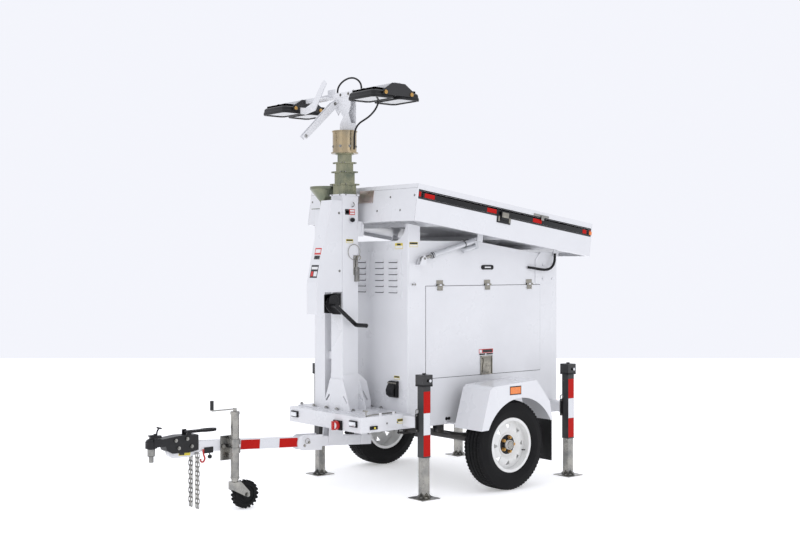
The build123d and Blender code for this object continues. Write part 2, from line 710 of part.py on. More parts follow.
with BuildPart() as electrical_fittings:
    for side in (1, -1):
        # Front position lights
        with BuildSketch(Plane.XZ.offset(-CHASSIS_FRONT)):
            with Locations((side * 378, 556)):
                RectangleRounded(88, 46, 16)
        extrude(amount=22)
        # Tail lights
        brick((side * 260, side * 440), (CHASSIS_REAR, CHASSIS_REAR + 32), (512, 592))
        # Side marker on each fender
        brick((side * FENDER_OUTER, side * (FENDER_OUTER + 1.5)), (760, 850), (745, 775))
    # Charging inlet with its sprung cover
    with BuildSketch(Plane.YZ.offset(254)):
        with BuildLine():
            Polyline(
                (CABINET_FRONT, 709), (CABINET_FRONT, 839), (CABINET_FRONT - 26, 839),
                (CABINET_FRONT - 62, 770), (CABINET_FRONT - 48, 722), (CABINET_FRONT - 20, 709), close=True,
            )
        make_face()
    extrude(amount=97)
    # Isolator base
    brick(
        (ISOLATOR_X - 52, ISOLATOR_X + 52),
        (CHASSIS_FRONT - 14, CHASSIS_FRONT),
        (ISOLATOR_Z - 36, ISOLATOR_Z + 36),
    )
save(electrical_fittings, "electrical_fittings")

with BuildPart() as isolator_knob:
    rod("Y", (ISOLATOR_X, CHASSIS_FRONT - 14 - RUNNING_GAP - 12, ISOLATOR_Z), ISOLATOR_RADIUS, 24)
    brick(
        (ISOLATOR_X - 8, ISOLATOR_X + 8),
        (CHASSIS_FRONT - 60, CHASSIS_FRONT - 30),
        (ISOLATOR_Z - 32, ISOLATOR_Z + 32),
    )
save(isolator_knob, "isolator_knob")

# ---- Mast: base plate with gussets, fixed tube and four telescopic sections ----
BASE_LEFT = 205
BASE_RIGHT = -455
BASE_FRONT = -312
BASE_REAR = 41
GUSSET_SHEET = 6
GUSSET_REACH = 102
GUSSET_HEIGHT = 235
SIDE_GUSSET_REACH = 120
SIDE_GUSSET_HEIGHT = 270
SLOT_LENGTH = 70
SLOT_WIDTH = 16
BASE_BOLTS = (
    (-437, -293), (-272, -293), (-111, -293), (25, -293), (180, -250),
    (180, 15), (40, 22), (-140, 22), (-300, 22), (-437, 15),
)
base_top = CHASSIS_TOP + MAST_PLATE
mast_half = MAST_SIZE / 2

with BuildPart() as mast_base:
    brick((BASE_RIGHT, BASE_LEFT), (BASE_FRONT, BASE_REAR), (CHASSIS_TOP, base_top))
    # Flared plates flat against the front and back of the mast
    for face in (MAST_Y - mast_half - RUNNING_GAP - GUSSET_SHEET, MAST_Y + mast_half + RUNNING_GAP):
        with BuildSketch(Plane.XZ.offset(-face)):
            with BuildLine():
                Polyline(
                    (-mast_half - GUSSET_REACH, base_top - 1),
                    (mast_half + GUSSET_REACH, base_top - 1),
                    (mast_half + 6, base_top + GUSSET_HEIGHT),
                    (-mast_half - 6, base_top + GUSSET_HEIGHT),
                    close=True,
                )
            make_face()
            with Locations(
                Location((mast_half + 38, base_top + 85, 0), (0, 0, -48)),
                Location((-mast_half - 38, base_top + 85, 0), (0, 0, 48)),
            ):
                SlotOverall(SLOT_LENGTH, SLOT_WIDTH, mode=Mode.SUBTRACT)
        extrude(amount=-GUSSET_SHEET)
    # Flared plates against its two sides, which reach rearwards
    for side in (1, -1):
        with BuildSketch(Plane.YZ.offset(side * (mast_half + RUNNING_GAP))):
            with BuildLine():
                Polyline(
                    (MAST_Y - mast_half, base_top - 1),
                    (MAST_Y + mast_half + SIDE_GUSSET_REACH, base_top - 1),
                    (MAST_Y + mast_half + SIDE_GUSSET_REACH, base_top + 55),
                    (MAST_Y + mast_half + 0.65 * SIDE_GUSSET_REACH, base_top + 210),
                    (MAST_Y + mast_half + 6, base_top + SIDE_GUSSET_HEIGHT),
                    (MAST_Y - mast_half, base_top + SIDE_GUSSET_HEIGHT),
                    close=True,
                )
            make_face()
            with Locations(Location((MAST_Y + mast_half + 62, base_top + 100, 0), (0, 0, -58))):
                SlotOverall(SLOT_LENGTH + 20, SLOT_WIDTH, mode=Mode.SUBTRACT)
        extrude(amount=side * GUSSET_SHEET)
    for x, y in BASE_BOLTS:
        bolt_head("Z", (x, y, base_top + 5), 10, 10)
save(mast_base, "mast_base")

with BuildPart() as mast_tube:
    square_tube((0, MAST_Y), MAST_SIZE, MAST_WALL, base_top, MAST_TOP)
    half = MAST_SIZE / 2 + 8
    brick((-half, half), (MAST_Y - half, MAST_Y + half), (MAST_TOP, MAST_TOP + COLLAR_THICKNESS))
    half = SECTION_SIZES[0] / 2 + RUNNING_GAP
    brick((-half, half), (MAST_Y - half, MAST_Y + half), (MAST_TOP - 1, MAST_TOP + COLLAR_THICKNESS + 1), Mode.SUBTRACT)
save(mast_tube, "mast_tube")


def mast_section(number):
    """One telescopic section: a tube with a floor at its foot and a guide collar at its top."""
    size = SECTION_SIZES[number]
    foot = base_top + RUNNING_GAP + number * (SECTION_WALL + RUNNING_GAP)
    with BuildPart() as piece:
        half = size / 2
        brick((-half, half), (MAST_Y - half, MAST_Y + half), (foot, SECTION_TOPS[number]))
        half = half - SECTION_WALL
        brick((-half, half), (MAST_Y - half, MAST_Y + half), (foot + SECTION_WALL, SECTION_TOPS[number] + 1), Mode.SUBTRACT)
        half = size / 2 + COLLAR_MARGIN
        if number < len(SECTION_SIZES) - 1:
            brick((-half, half), (MAST_Y - half, MAST_Y + half), (SECTION_TOPS[number], SECTION_TOPS[number] + COLLAR_THICKNESS))
            hole = SECTION_SIZES[number + 1] / 2 + RUNNING_GAP
            brick(
                (-hole, hole),
                (MAST_Y - hole, MAST_Y + hole),
                (SECTION_TOPS[number] - 1, SECTION_TOPS[number] + COLLAR_THICKNESS + 1),
                Mode.SUBTRACT,
            )
        else:
            rod("Z", (0, MAST_Y, SECTION_TOPS[number] + 4), 70, 8)
    return piece


for number in range(len(SECTION_SIZES)):
    save(mast_section(number), f"mast_section_{number + 1}")

# ---- Cable post: a square tube beside the mast, with a funnel that catches the lamp cable ----
FUNNEL_RADIUS = 132
FUNNEL_BOTTOM = 2206
FUNNEL_TOP = 2325
POST_TOP = 2150
FUNNEL_SHEET = 3

with BuildPart() as cable_post:
    post_y = MAST_Y - MAST_SIZE / 2 + POST_SIZE / 2
    square_tube((POST_X, post_y), POST_SIZE, 4, base_top, POST_TOP)
    brick((POST_X - 95, POST_X + 75), (post_y - 80, post_y + 80), (POST_TOP, POST_TOP + 6))
    rod("Z", (POST_X, post_y, POST_TOP + 3), 46, 8, Mode.SUBTRACT)
    with BuildSketch(Plane(origin=(POST_X, post_y, 0), x_dir=(1, 0, 0), z_dir=(0, -1, 0))):
        with BuildLine():
            Polyline(
                (52, POST_TOP + 5),
                (52, FUNNEL_BOTTOM),
                (FUNNEL_RADIUS, FUNNEL_TOP - 20),
                (FUNNEL_RADIUS, FUNNEL_TOP),
                (FUNNEL_RADIUS - FUNNEL_SHEET, FUNNEL_TOP),
                (FUNNEL_RADIUS - FUNNEL_SHEET, FUNNEL_TOP - 18),
                (52 - FUNNEL_SHEET, FUNNEL_BOTTOM + 2),
                (52 - FUNNEL_SHEET, POST_TOP + 5),
                close=True,
            )
        make_face()
    revolve(axis=Axis((POST_X, post_y, 0), (0, 0, 1)))
    half = MAST_SIZE / 2 + COLLAR_MARGIN + 2
    brick((-half, half), (MAST_Y - half, MAST_Y + half), (FUNNEL_BOTTOM - 10, FUNNEL_TOP + 1), Mode.SUBTRACT)
    # Tie plates to the mast
    for z in (990, 1700):
        brick((POST_X + POST_SIZE / 2, -MAST_SIZE / 2), (post_y - 30, post_y + 30), (z, z + 60))
save(cable_post, "cable_post")

# ---- Winch under its tapering cover, and the winch crank ----
WINCH_HALF = 50
mast_front = MAST_Y - MAST_SIZE / 2
HOUSING_PROFILE = (
    (mast_front, HOUSING_BOTTOM),
    (HOUSING_FRONT, HOUSING_BOTTOM),
    (HOUSING_FRONT, HOUSING_KNEE_Z),
    (HOUSING_TOP_FRONT, HOUSING_TOP),
    (mast_front, HOUSING_TOP),
)

with BuildPart() as winch_housing:
    with BuildSketch(Plane.YZ):
        with BuildLine():
            Polyline(*HOUSING_PROFILE, close=True)
        make_face()
    extrude(amount=HOUSING_HALF, both=True)
    with BuildSketch(Plane.YZ) as housing_inside:
        with BuildLine():
            Polyline(*HOUSING_PROFILE, close=True)
        make_face()
        offset(amount=-HOUSING_SHEET, kind=Kind.INTERSECTION, mode=Mode.REPLACE)
    extrude(housing_inside.sketch, amount=HOUSING_HALF - HOUSING_SHEET, both=True, mode=Mode.SUBTRACT)
    # Open underside and the side windows at the winch
    brick(
        (-HOUSING_HALF - 1, HOUSING_HALF + 1),
        (HOUSING_FRONT + 65, mast_front + 1),
        (HOUSING_BOTTOM - 1, 1512),
        Mode.SUBTRACT,
    )
    brick(
        (-HOUSING_HALF + HOUSING_SHEET, HOUSING_HALF - HOUSING_SHEET),
        (HOUSING_FRONT + HOUSING_SHEET, mast_front),
        (HOUSING_BOTTOM - 1, HOUSING_BOTTOM + 10),
        Mode.SUBTRACT,
    )
save(winch_housing, "winch_housing")

with BuildPart() as winch:
    brick((-WINCH_HALF, WINCH_HALF), (mast_front - 8, mast_front), (1340, 1500))
    for side in (1, -1):
        with BuildSketch(Plane.YZ.offset(side * WINCH_HALF)):
            with BuildLine():
                Polyline(
                    (mast_front - 1, 1345), (mast_front - 95, 1352), (mast_front - 135, 1395),
                    (mast_front - 135, 1440), (mast_front - 95, 1490), (mast_front - 1, 1498), close=True,
                )
            make_face()
        extrude(amount=-side * 6)
    rod("X", (0, CRANK_Y + 40, CRANK_Z + 30), 26, 2 * WINCH_HALF - 12)
    rod("X", (0, CRANK_Y, CRANK_Z), 9, 2 * WINCH_HALF)
    rod("X", (WINCH_HALF + 5, CRANK_Y + 15, CRANK_Z + 10), 44, 10)
save(winch, "winch")

CRANK_ANGLE = -38.4
crank_plane = Plane(
    origin=(0, CRANK_Y, CRANK_Z),
    x_dir=(0, cos(radians(CRANK_ANGLE)), sin(radians(CRANK_ANGLE))),
    z_dir=(1, 0, 0),
)
crank_inner = WINCH_HALF + 10 + RUNNING_GAP

with BuildPart() as winch_crank:
    with BuildSketch(crank_plane.offset(crank_inner)):
        Circle(14)
    extrude(amount=128 - crank_inner)
    with BuildSketch(crank_plane.offset(116)):
        with Locations((CRANK_LENGTH / 2, 0)):
            SlotCenterToCenter(CRANK_LENGTH, 30)
    extrude(amount=8)
    with BuildSketch(crank_plane.offset(124)):
        with Locations((CRANK_LENGTH, 0)):
            Circle(8)
    extrude(amount=12)
    with BuildSketch(crank_plane.offset(134)):
        with Locations((CRANK_LENGTH, 0)):
            Circle(16)
    extrude(amount=116)
save(winch_crank, "winch_crank")

# ---- Lamp head: turning drum, frame with yokes, and four floodlights ----
section_top = SECTION_TOPS[-1] + 8
pivot_z = LAMP_BOTTOM + LAMP_HEIGHT / 2
LAMP_PAIRS = (("left", LEFT_LAMPS_X), ("right", RIGHT_LAMPS_X))
LAMP_ROWS = (("front", HEAD_Y - LAMP_SPACING), ("rear", HEAD_Y + LAMP_SPACING))
YOKE_GAP = 3

with BuildPart() as head_drum:
    rod("Z", (0, MAST_Y, (section_top + RUNNING_GAP + DRUM_TOP) / 2), DRUM_RADIUS, DRUM_TOP - section_top - RUNNING_GAP)
    rod("Z", (0, MAST_Y, section_top + RUNNING_GAP + 4), DRUM_RADIUS + 12, 8)
    rod("Z", (0, MAST_Y, DRUM_TOP - 4), DRUM_RADIUS + 6, 8)
    floor_z = section_top + 10
    roof_z = DRUM_TOP - 12
    rod("Z", (0, MAST_Y, (floor_z + roof_z) / 2), DRUM_RADIUS - 8, roof_z - floor_z, Mode.SUBTRACT)
    rod("Z", (0, MAST_Y, floor_z), 25, 30, Mode.SUBTRACT)
save(head_drum, "head_drum")

with BuildPart() as head_frame:
    # Folded upright with a stepped edge, under the cross bar
    with BuildSketch(Plane.XZ.offset(-(HEAD_Y - 22))):
        with BuildLine():
            Polyline(
                (-62, DRUM_TOP), (72, DRUM_TOP), (72, 2800), (46, 2872), (72, 2930), (72, BAR_BOTTOM),
                (-118, BAR_BOTTOM), (-150, 2962), (-84, 2866), (-62, 2900), (-20, 2850), (-62, 2800), close=True,
            )
        make_face()
    extrude(amount=-6)
    for x in (-62, 66):
        brick((x, x + 6), (HEAD_Y - 22, HEAD_Y + 34), (DRUM_TOP, 2800))
    brick((-62, 72), (HEAD_Y - 22, HEAD_Y + 34), (DRUM_TOP, DRUM_TOP + 6))
    brick((-62, 72), (HEAD_Y + 28, HEAD_Y + 34), (DRUM_TOP, BAR_BOTTOM))
    # Cross bar over the lamps
    bar_ends = (RIGHT_LAMPS_X - LAMP_LENGTH / 2, LEFT_LAMPS_X + LAMP_LENGTH / 2)
    brick(
        bar_ends,
        (HEAD_Y - BAR_WIDTH / 2, HEAD_Y + BAR_WIDTH / 2),
        (BAR_BOTTOM, BAR_BOTTOM + BAR_HEIGHT),
    )
    brick(
        (bar_ends[0] - 1, bar_ends[1] + 1),
        (HEAD_Y - BAR_WIDTH / 2 + 4, HEAD_Y + BAR_WIDTH / 2 - 4),
        (BAR_BOTTOM + 4, BAR_BOTTOM + BAR_HEIGHT - 4),
        Mode.SUBTRACT,
    )
    # Yoke plates, one at each end of each pair of lamps
    for _, lamp_x in LAMP_PAIRS:
        for end in (1, -1):
            x = lamp_x + end * (LAMP_LENGTH / 2 + YOKE_GAP)
            with BuildSketch(Plane.YZ.offset(x)):
                with BuildLine():
                    Polyline(
                        (HEAD_Y - LAMP_SPACING - 22, pivot_z - 18),
                        (HEAD_Y + LAMP_SPACING + 22, pivot_z - 18),
                        (HEAD_Y + LAMP_SPACING + 22, pivot_z + 18),
                        (HEAD_Y + 60, BAR_BOTTOM + 30),
                        (HEAD_Y - 60, BAR_BOTTOM + 30),
                        (HEAD_Y - LAMP_SPACING - 22, pivot_z + 18),
                        close=True,
                    )
                make_face()
                with Locations((HEAD_Y - LAMP_SPACING, pivot_z), (HEAD_Y + LAMP_SPACING, pivot_z)):
                    Circle(PIN_RADIUS + RUNNING_GAP, mode=Mode.SUBTRACT)
            extrude(amount=end * YOKE_SHEET)
            inner = x - end * (YOKE_GAP + 6)
            brick((inner, x + end * YOKE_SHEET), (HEAD_Y - 25, HEAD_Y + 25), (BAR_BOTTOM, BAR_BOTTOM + 30))
    # Bent plate arm, from the right lamps up to the cable clamp over the mast
    with BuildSketch(Plane.XZ.offset(-(HEAD_Y - 88))):
        with BuildLine():
            Polyline(
                (-500, 2968), (-430, 2958), (-330, 2990), (-215, 3128), (-180, 3150),
                (-150, 3120), (-300, 2925), (-440, 2905), (-500, 2920), close=True,
            )
        make_face()
    extrude(amount=-8)
    brick((-240, -150), (HEAD_Y - 88, HEAD_Y + 12), (BAR_BOTTOM, BAR_BOTTOM + 8))
    brick((-240, -150), (HEAD_Y - 8, HEAD_Y), (BAR_BOTTOM + BAR_HEIGHT - 1, BAR_BOTTOM + BAR_HEIGHT + 40))
    # Two drooping lock bars
    for x in (-128, -92):
        with BuildSketch(Plane.YZ.offset(x)):
            with BuildLine():
                Polyline(
                    (HEAD_Y - 18, 2996), (HEAD_Y - 78, 2962), (HEAD_Y - 330, 2712),
                    (HEAD_Y - 352, 2688), (HEAD_Y - 322, 2664), (HEAD_Y - 292, 2688), (HEAD_Y - 20, 2944), close=True,
                )
            make_face()
        extrude(amount=8)
    rod("X", (-106, HEAD_Y - 322, 2692), 10, 52)
save(head_frame, "head_frame")


def floodlight(x, y):
    """One flat floodlight: finned back, bezel, recessed glass, and a pivot with a knob at each side."""
    with BuildPart() as piece:
        with BuildSketch(Plane.XY.offset(LAMP_BOTTOM)):
            with Locations((x, y)):
                Rectangle(LAMP_LENGTH - 8, LAMP_DEPTH)
            chamfer(vertices(), 22)
        extrude(amount=LAMP_HEIGHT - 18)
        with BuildSketch(Plane.XY.offset(LAMP_BOTTOM)):
            with Locations((x, y)):
                Rectangle(LAMP_LENGTH - 60, LAMP_DEPTH - 50)
        extrude(amount=12, mode=Mode.SUBTRACT)
        for fin in range(9):
            fin_x = x - 120 + 30 * fin
            brick((fin_x, fin_x + 8), (y - LAMP_DEPTH / 2 + 24, y + LAMP_DEPTH / 2 - 24),
                  (LAMP_BOTTOM + LAMP_HEIGHT - 19, LAMP_BOTTOM + LAMP_HEIGHT))
        rod("X", (x, y, pivot_z), PIN_RADIUS, LAMP_LENGTH + 2 * (YOKE_GAP + YOKE_SHEET + 2))
        for end in (1, -1):
            knob_x = x + end * (LAMP_LENGTH / 2 + YOKE_GAP + YOKE_SHEET + 1 + 5)
            rod("X", (knob_x, y, pivot_z), 15, 10)
    return piece


for row, y in LAMP_ROWS:
    for side, x in LAMP_PAIRS:
        save(floodlight(x, y), f"lamp_{row}_{side}")

# ---- Lamp head cables: tubes of straight runs and tangent arcs ----
CABLE_RADIUS = 7


def cable(points, radius):
    """A round cable along a route, each corner an arc as large as its two runs allow."""
    route = [Vector(*point) for point in points]
    radii = []
    for before, corner, after in zip(route, route[1:], route[2:]):
        turn = radians((corner - before).get_angle(after - corner))
        run = min((corner - before).length, (after - corner).length)
        radii.append(0.45 * run / tan(turn / 2))
    print("cable radii", [round(value) for value in radii])
    with BuildLine() as path:
        FilletPolyline(*route, radius=radii)
    wire = path.wires()[0]
    with BuildSketch(Plane(origin=wire @ 0, z_dir=wire % 0)) as section:
        Circle(radius)
    with BuildPart() as piece:
        sweep(section.sketch, path=wire)
    print("cable volume ratio", round(piece.part.volume / (section.sketch.area * wire.length), 4))
    return piece


# Arch from the clamp on the right-hand arm over to the left lamps
ARCH_ROUTE = (
    (-116, HEAD_Y - 4, BAR_BOTTOM + BAR_HEIGHT + RUNNING_GAP), (-116, HEAD_Y - 4, 3072), (-96, HEAD_Y - 4, 3102),
    (-56, HEAD_Y - 4, 3126), (-4, HEAD_Y - 3, 3142), (56, HEAD_Y - 2, 3146), (112, HEAD_Y - 2, 3134),
    (158, HEAD_Y - 2, 3108), (184, HEAD_Y - 1, 3074), (184, HEAD_Y - 1, BAR_BOTTOM + BAR_HEIGHT + RUNNING_GAP),
)
# Loop from the cross bar, between the left lamps, down to the drum
LOOP_ROUTE = (
    (400, HEAD_Y, BAR_BOTTOM - RUNNING_GAP), (400, HEAD_Y, 2965), (388, HEAD_Y + 1, 2922), (362, HEAD_Y + 2, 2884),
    (322, HEAD_Y + 1, 2852), (276, HEAD_Y - 2, 2826), (228, HEAD_Y - 6, 2808), (184, HEAD_Y - 12, 2792),
    (148, HEAD_Y - 18, 2766), (128, HEAD_Y - 21, 2728), (122, MAST_Y, 2684), (124, MAST_Y, 2638), (120, MAST_Y, 2592),
)

arch_cable = cable(ARCH_ROUTE, CABLE_RADIUS)
save(arch_cable, "arch_cable")
loop_cable = cable(LOOP_ROUTE, CABLE_RADIUS)
save(loop_cable, "loop_cable")

# ---- Conduit from the cabinet's side up to the panel box ----
CONDUIT_RADIUS = 11
CONDUIT_ROUTE = (
    (CHASSIS_HALF + 7.6, 1318, 1697), (CHASSIS_HALF + 30, 1340, 1694), (CHASSIS_HALF + 36, 1410, 1684),
    (CHASSIS_HALF + 40, 1474, 1676), (CHASSIS_HALF + 44, 1530, 1680), (CHASSIS_HALF + 46, 1574, 1706),
    (CHASSIS_HALF + 46, 1596, 1746), (CHASSIS_HALF + 46, 1598, 1786), (CHASSIS_HALF + 46, 1598, 1812),
)
conduit = cable(CONDUIT_ROUTE, CONDUIT_RADIUS)
save(conduit, "panel_conduit")

# ---- Solar panel box: sheet tray with wing slots, hinge and actuator lugs, and the fixed module ----
hinge_y, hinge_z = panel_point(PANEL_HINGE_Y, PANEL_HINGE_Z)
top_y, top_z = panel_point(*ACTUATOR_TOP)
LUG_X = CHASSIS_HALF + 11
LUG_SHEET = 8
ACTUATOR_LUG_X = ACTUATOR_X + 24
MODULE_TOP = PANEL_HEIGHT
module_bottom = MODULE_TOP - MODULE_HEIGHT
SLOT_MARGIN = 30
LEDGE = 40

with BuildPart(PANEL_PLANE) as panel_box:
    inner_half = PANEL_HALF - PANEL_SHEET
    tray_top = module_bottom - RUNNING_GAP
    brick((-PANEL_HALF, PANEL_HALF), (-PANEL_LENGTH, 0), (0, tray_top))
    brick(
        (-inner_half, inner_half),
        (-PANEL_LENGTH + PANEL_SHEET, -PANEL_SHEET),
        (PANEL_FLOOR + PANEL_SHEET, tray_top + 1),
        Mode.SUBTRACT,
    )
    brick(
        (-inner_half, inner_half),
        (-PANEL_LENGTH + PANEL_SHEET, -PANEL_SHEET),
        (PANEL_SHEET, PANEL_FLOOR),
        Mode.SUBTRACT,
    )
    brick(
        (-PANEL_HALF + PANEL_LIP, PANEL_HALF - PANEL_LIP),
        (-PANEL_LENGTH + PANEL_LIP, -PANEL_LIP),
        (-1, PANEL_FLOOR),
        Mode.SUBTRACT,
    )
    # Ledges along the front and rear walls, under each wing and under the module
    for z in (LEFT_WING_Z, RIGHT_WING_Z, module_bottom):
        low = z - RUNNING_GAP - PANEL_SHEET
        for near, far in ((-PANEL_LENGTH + PANEL_SHEET, -PANEL_LENGTH + LEDGE + 22), (-LEDGE - 22, -PANEL_SHEET)):
            brick((-inner_half, inner_half), (near, far), (low, low + PANEL_SHEET))
    # Slots that the wings slide out of
    for side, z in ((1, LEFT_WING_Z), (-1, RIGHT_WING_Z)):
        brick(
            (side * (inner_half - 1), side * (PANEL_HALF + 1)),
            (-PANEL_LENGTH + SLOT_MARGIN, -SLOT_MARGIN),
            (z - RUNNING_GAP, z + WING_HEIGHT + 8),
            Mode.SUBTRACT,
        )
    # Cross rails under the floor
    for y in (-PANEL_LENGTH + 300, -PANEL_LENGTH / 2, -420):
        brick((-inner_half, inner_half), (y - 20, y + 20), (4, PANEL_FLOOR))
    for side in (1, -1):
        # Hinge lug and pin
        brick(
            (side * LUG_X, side * (LUG_X + LUG_SHEET)),
            (hinge_y - 30, hinge_y + 30),
            (hinge_z - 16, PANEL_FLOOR + 1),
        )
        rod("X", (side * (LUG_X - 3), hinge_y, hinge_z), PIN_RADIUS, 30)
        # Actuator lug
        brick(
            (side * ACTUATOR_LUG_X, side * (ACTUATOR_LUG_X + LUG_SHEET)),
            (top_y - 28, top_y + 28),
            (top_z - 18, PANEL_FLOOR + 1),
        )
    # Fixed module: frame and laminate
    brick((-PANEL_HALF, PANEL_HALF), (-PANEL_LENGTH, 0), (module_bottom, MODULE_TOP))
    brick(
        (-PANEL_HALF + FRAME_WIDTH, PANEL_HALF - FRAME_WIDTH),
        (-PANEL_LENGTH + FRAME_WIDTH, -FRAME_WIDTH),
        (module_bottom - 0.1, MODULE_TOP - LAMINATE - 2),
        Mode.SUBTRACT,
    )
    brick(
        (-PANEL_HALF + 12, PANEL_HALF - 12),
        (-PANEL_LENGTH + 12, -12),
        (MODULE_TOP - 2, MODULE_TOP + 1),
        Mode.SUBTRACT,
    )
save(panel_box, "panel_box")


def solar_wing(side, z):
    """A framed solar module that slides out of the box, towards +X or -X."""
    outer = side * (PANEL_HALF - WING_RECESS)
    inner = outer - side * WING_REACH
    low, high = sorted((inner, outer))
    middle = -PANEL_LENGTH / 2
    with BuildPart(PANEL_PLANE) as piece:
        brick((low, high), (middle - WING_LENGTH / 2, middle + WING_LENGTH / 2), (z, z + WING_HEIGHT))
        brick(
            (low + FRAME_WIDTH, high - FRAME_WIDTH),
            (middle - WING_LENGTH / 2 + FRAME_WIDTH, middle + WING_LENGTH / 2 - FRAME_WIDTH),
            (z - 1, z + WING_HEIGHT - LAMINATE - 2),
            Mode.SUBTRACT,
        )
        brick(
            (low + 12, high - 12),
            (middle - WING_LENGTH / 2 + 12, middle + WING_LENGTH / 2 - 12),
            (z + WING_HEIGHT - 2, z + WING_HEIGHT + 1),
            Mode.SUBTRACT,
        )
        # Pull handle recessed in the slot
        brick((outer, outer + side * 10), (middle - 60, middle + 60), (z + 12, z + 28))
    return piece


save(solar_wing(1, LEFT_WING_Z), "panel_wing_left")
save(solar_wing(-1, RIGHT_WING_Z), "panel_wing_right")

# ---- Tilt actuators: rod on the cabinet's bracket, body with its motor under the panel box ----
rise = ACTUATOR_TOP[1] - ACTUATOR_BASE[1]
run = ACTUATOR_TOP[0] - ACTUATOR_BASE[0]
actuator_length = hypot(run, rise)
actuator_angle = atan2(rise, run)
actuator_plane = Plane(
    origin=(ACTUATOR_X, *ACTUATOR_BASE),
    x_dir=(1, 0, 0),
    z_dir=(0, cos(actuator_angle), sin(actuator_angle)),
)
ROD_END = 520
BODY_START = 78
MOTOR_OFFSET = 46
print("actuator", round(actuator_length, 1), "mm at", round(degrees(actuator_angle), 2), "degrees")

with BuildPart(actuator_plane) as rod_left:
    rod("X", (0, 0, 0), EYE_RADIUS, EYE_WIDTH)
    rod("X", (0, 0, 0), PIN_RADIUS, EYE_WIDTH + 28)
    rod("Z", (0, 0, ROD_END / 2 + 5), ACTUATOR_ROD, ROD_END - 10)

with BuildPart(actuator_plane) as actuator_left:
    body_end = actuator_length - EYE_RADIUS + 4
    rod("Z", (0, 0, (BODY_START + body_end) / 2), ACTUATOR_TUBE, body_end - BODY_START)
    rod("X", (0, 0, actuator_length), EYE_RADIUS, EYE_WIDTH)
    rod("X", (EYE_WIDTH / 2, 0, actuator_length), PIN_RADIUS, 2 * (ACTUATOR_LUG_X - ACTUATOR_X - EYE_WIDTH / 2 - 0.5))
    brick((-20, 20), (-22, MOTOR_OFFSET + 18), (body_end - 34, body_end - 6))
    rod("Z", (0, MOTOR_OFFSET, body_end - 34 - 62), 19, 124)
    rod("Z", (0, 0, BODY_START + (ROD_END - BODY_START) / 2 - 1), ACTUATOR_ROD + RUNNING_GAP, ROD_END - BODY_START + 6, Mode.SUBTRACT)

for side, body, inner_rod in (("left", actuator_left, rod_left), ("right", mirrored(actuator_left), mirrored(rod_left))):
    save(body, f"actuator_body_{side}")
    save(inner_rod, f"actuator_rod_{side}")

# ---- Drawbar: rear socket on the chassis, folding front tube ----
PLATE_GAP = 0.5
PLATE_SHEET = 10
SOCKET_START = 75
SOCKET_END = 640
drawbar_half = DRAWBAR_SIZE / 2
slope_drop = tan(radians(DRAWBAR_SLOPE))

with BuildPart(DRAWBAR_PLANE) as drawbar_socket:
    brick((-drawbar_half, drawbar_half), (SOCKET_START, SOCKET_END), (-drawbar_half, drawbar_half))
    inner = drawbar_half - DRAWBAR_WALL
    brick((-inner, inner), (SOCKET_START - 1, SOCKET_END + 1), (-inner, inner), Mode.SUBTRACT)
    for side in (1, -1):
        near = side * (drawbar_half + PLATE_GAP)
        far = near + side * PLATE_SHEET
        brick((near, far), (0, SOCKET_START + 90), (-62, 52))
        rod("X", ((near + far) / 2, 0, -5), 57, PLATE_SHEET)
        brick((side * (drawbar_half - 1), far), (SOCKET_START + 10, SOCKET_START + 90), (-20, 20))
        rod("X", ((near + far) / 2, 0, FOLD_PIN_UP), 14, PLATE_SHEET + 1, Mode.SUBTRACT)
    rod("X", (0, 0, FOLD_PIN_UP), 9, DRAWBAR_SIZE + 44)
    for side in (1, -1):
        near = side * (drawbar_half + PLATE_GAP)
        rod("X", (near + side * PLATE_SHEET / 2, 0, FOLD_PIN_UP), 15, PLATE_SHEET)
        rod("X", (near + side * (PLATE_SHEET + 3), 0, FOLD_PIN_UP), 15, 6)
    # Hangers up to the cross members
    for y, length in ((230, 130), (535, 60)):
        top = RAIL_BOTTOM - DRAWBAR_Z + slope_drop * (y + length)
        for x in (-drawbar_half - 8, drawbar_half):
            brick((x, x + 8), (y, y + length), (-drawbar_half + 6, top))
with BuildPart() as socket_trim:
    add(drawbar_socket.part)
    brick((-200, 200), (CHASSIS_FRONT - 100, CHASSIS_REAR), (RAIL_BOTTOM, CHASSIS_TOP), Mode.SUBTRACT)
save(socket_trim, "drawbar_socket")

tongue_plane = Plane(
    origin=DRAWBAR_PLANE.from_local_coords(Vector(-26, 0, 0)),
    x_dir=DRAWBAR_PLANE.y_dir,
    z_dir=(1, 0, 0),
)

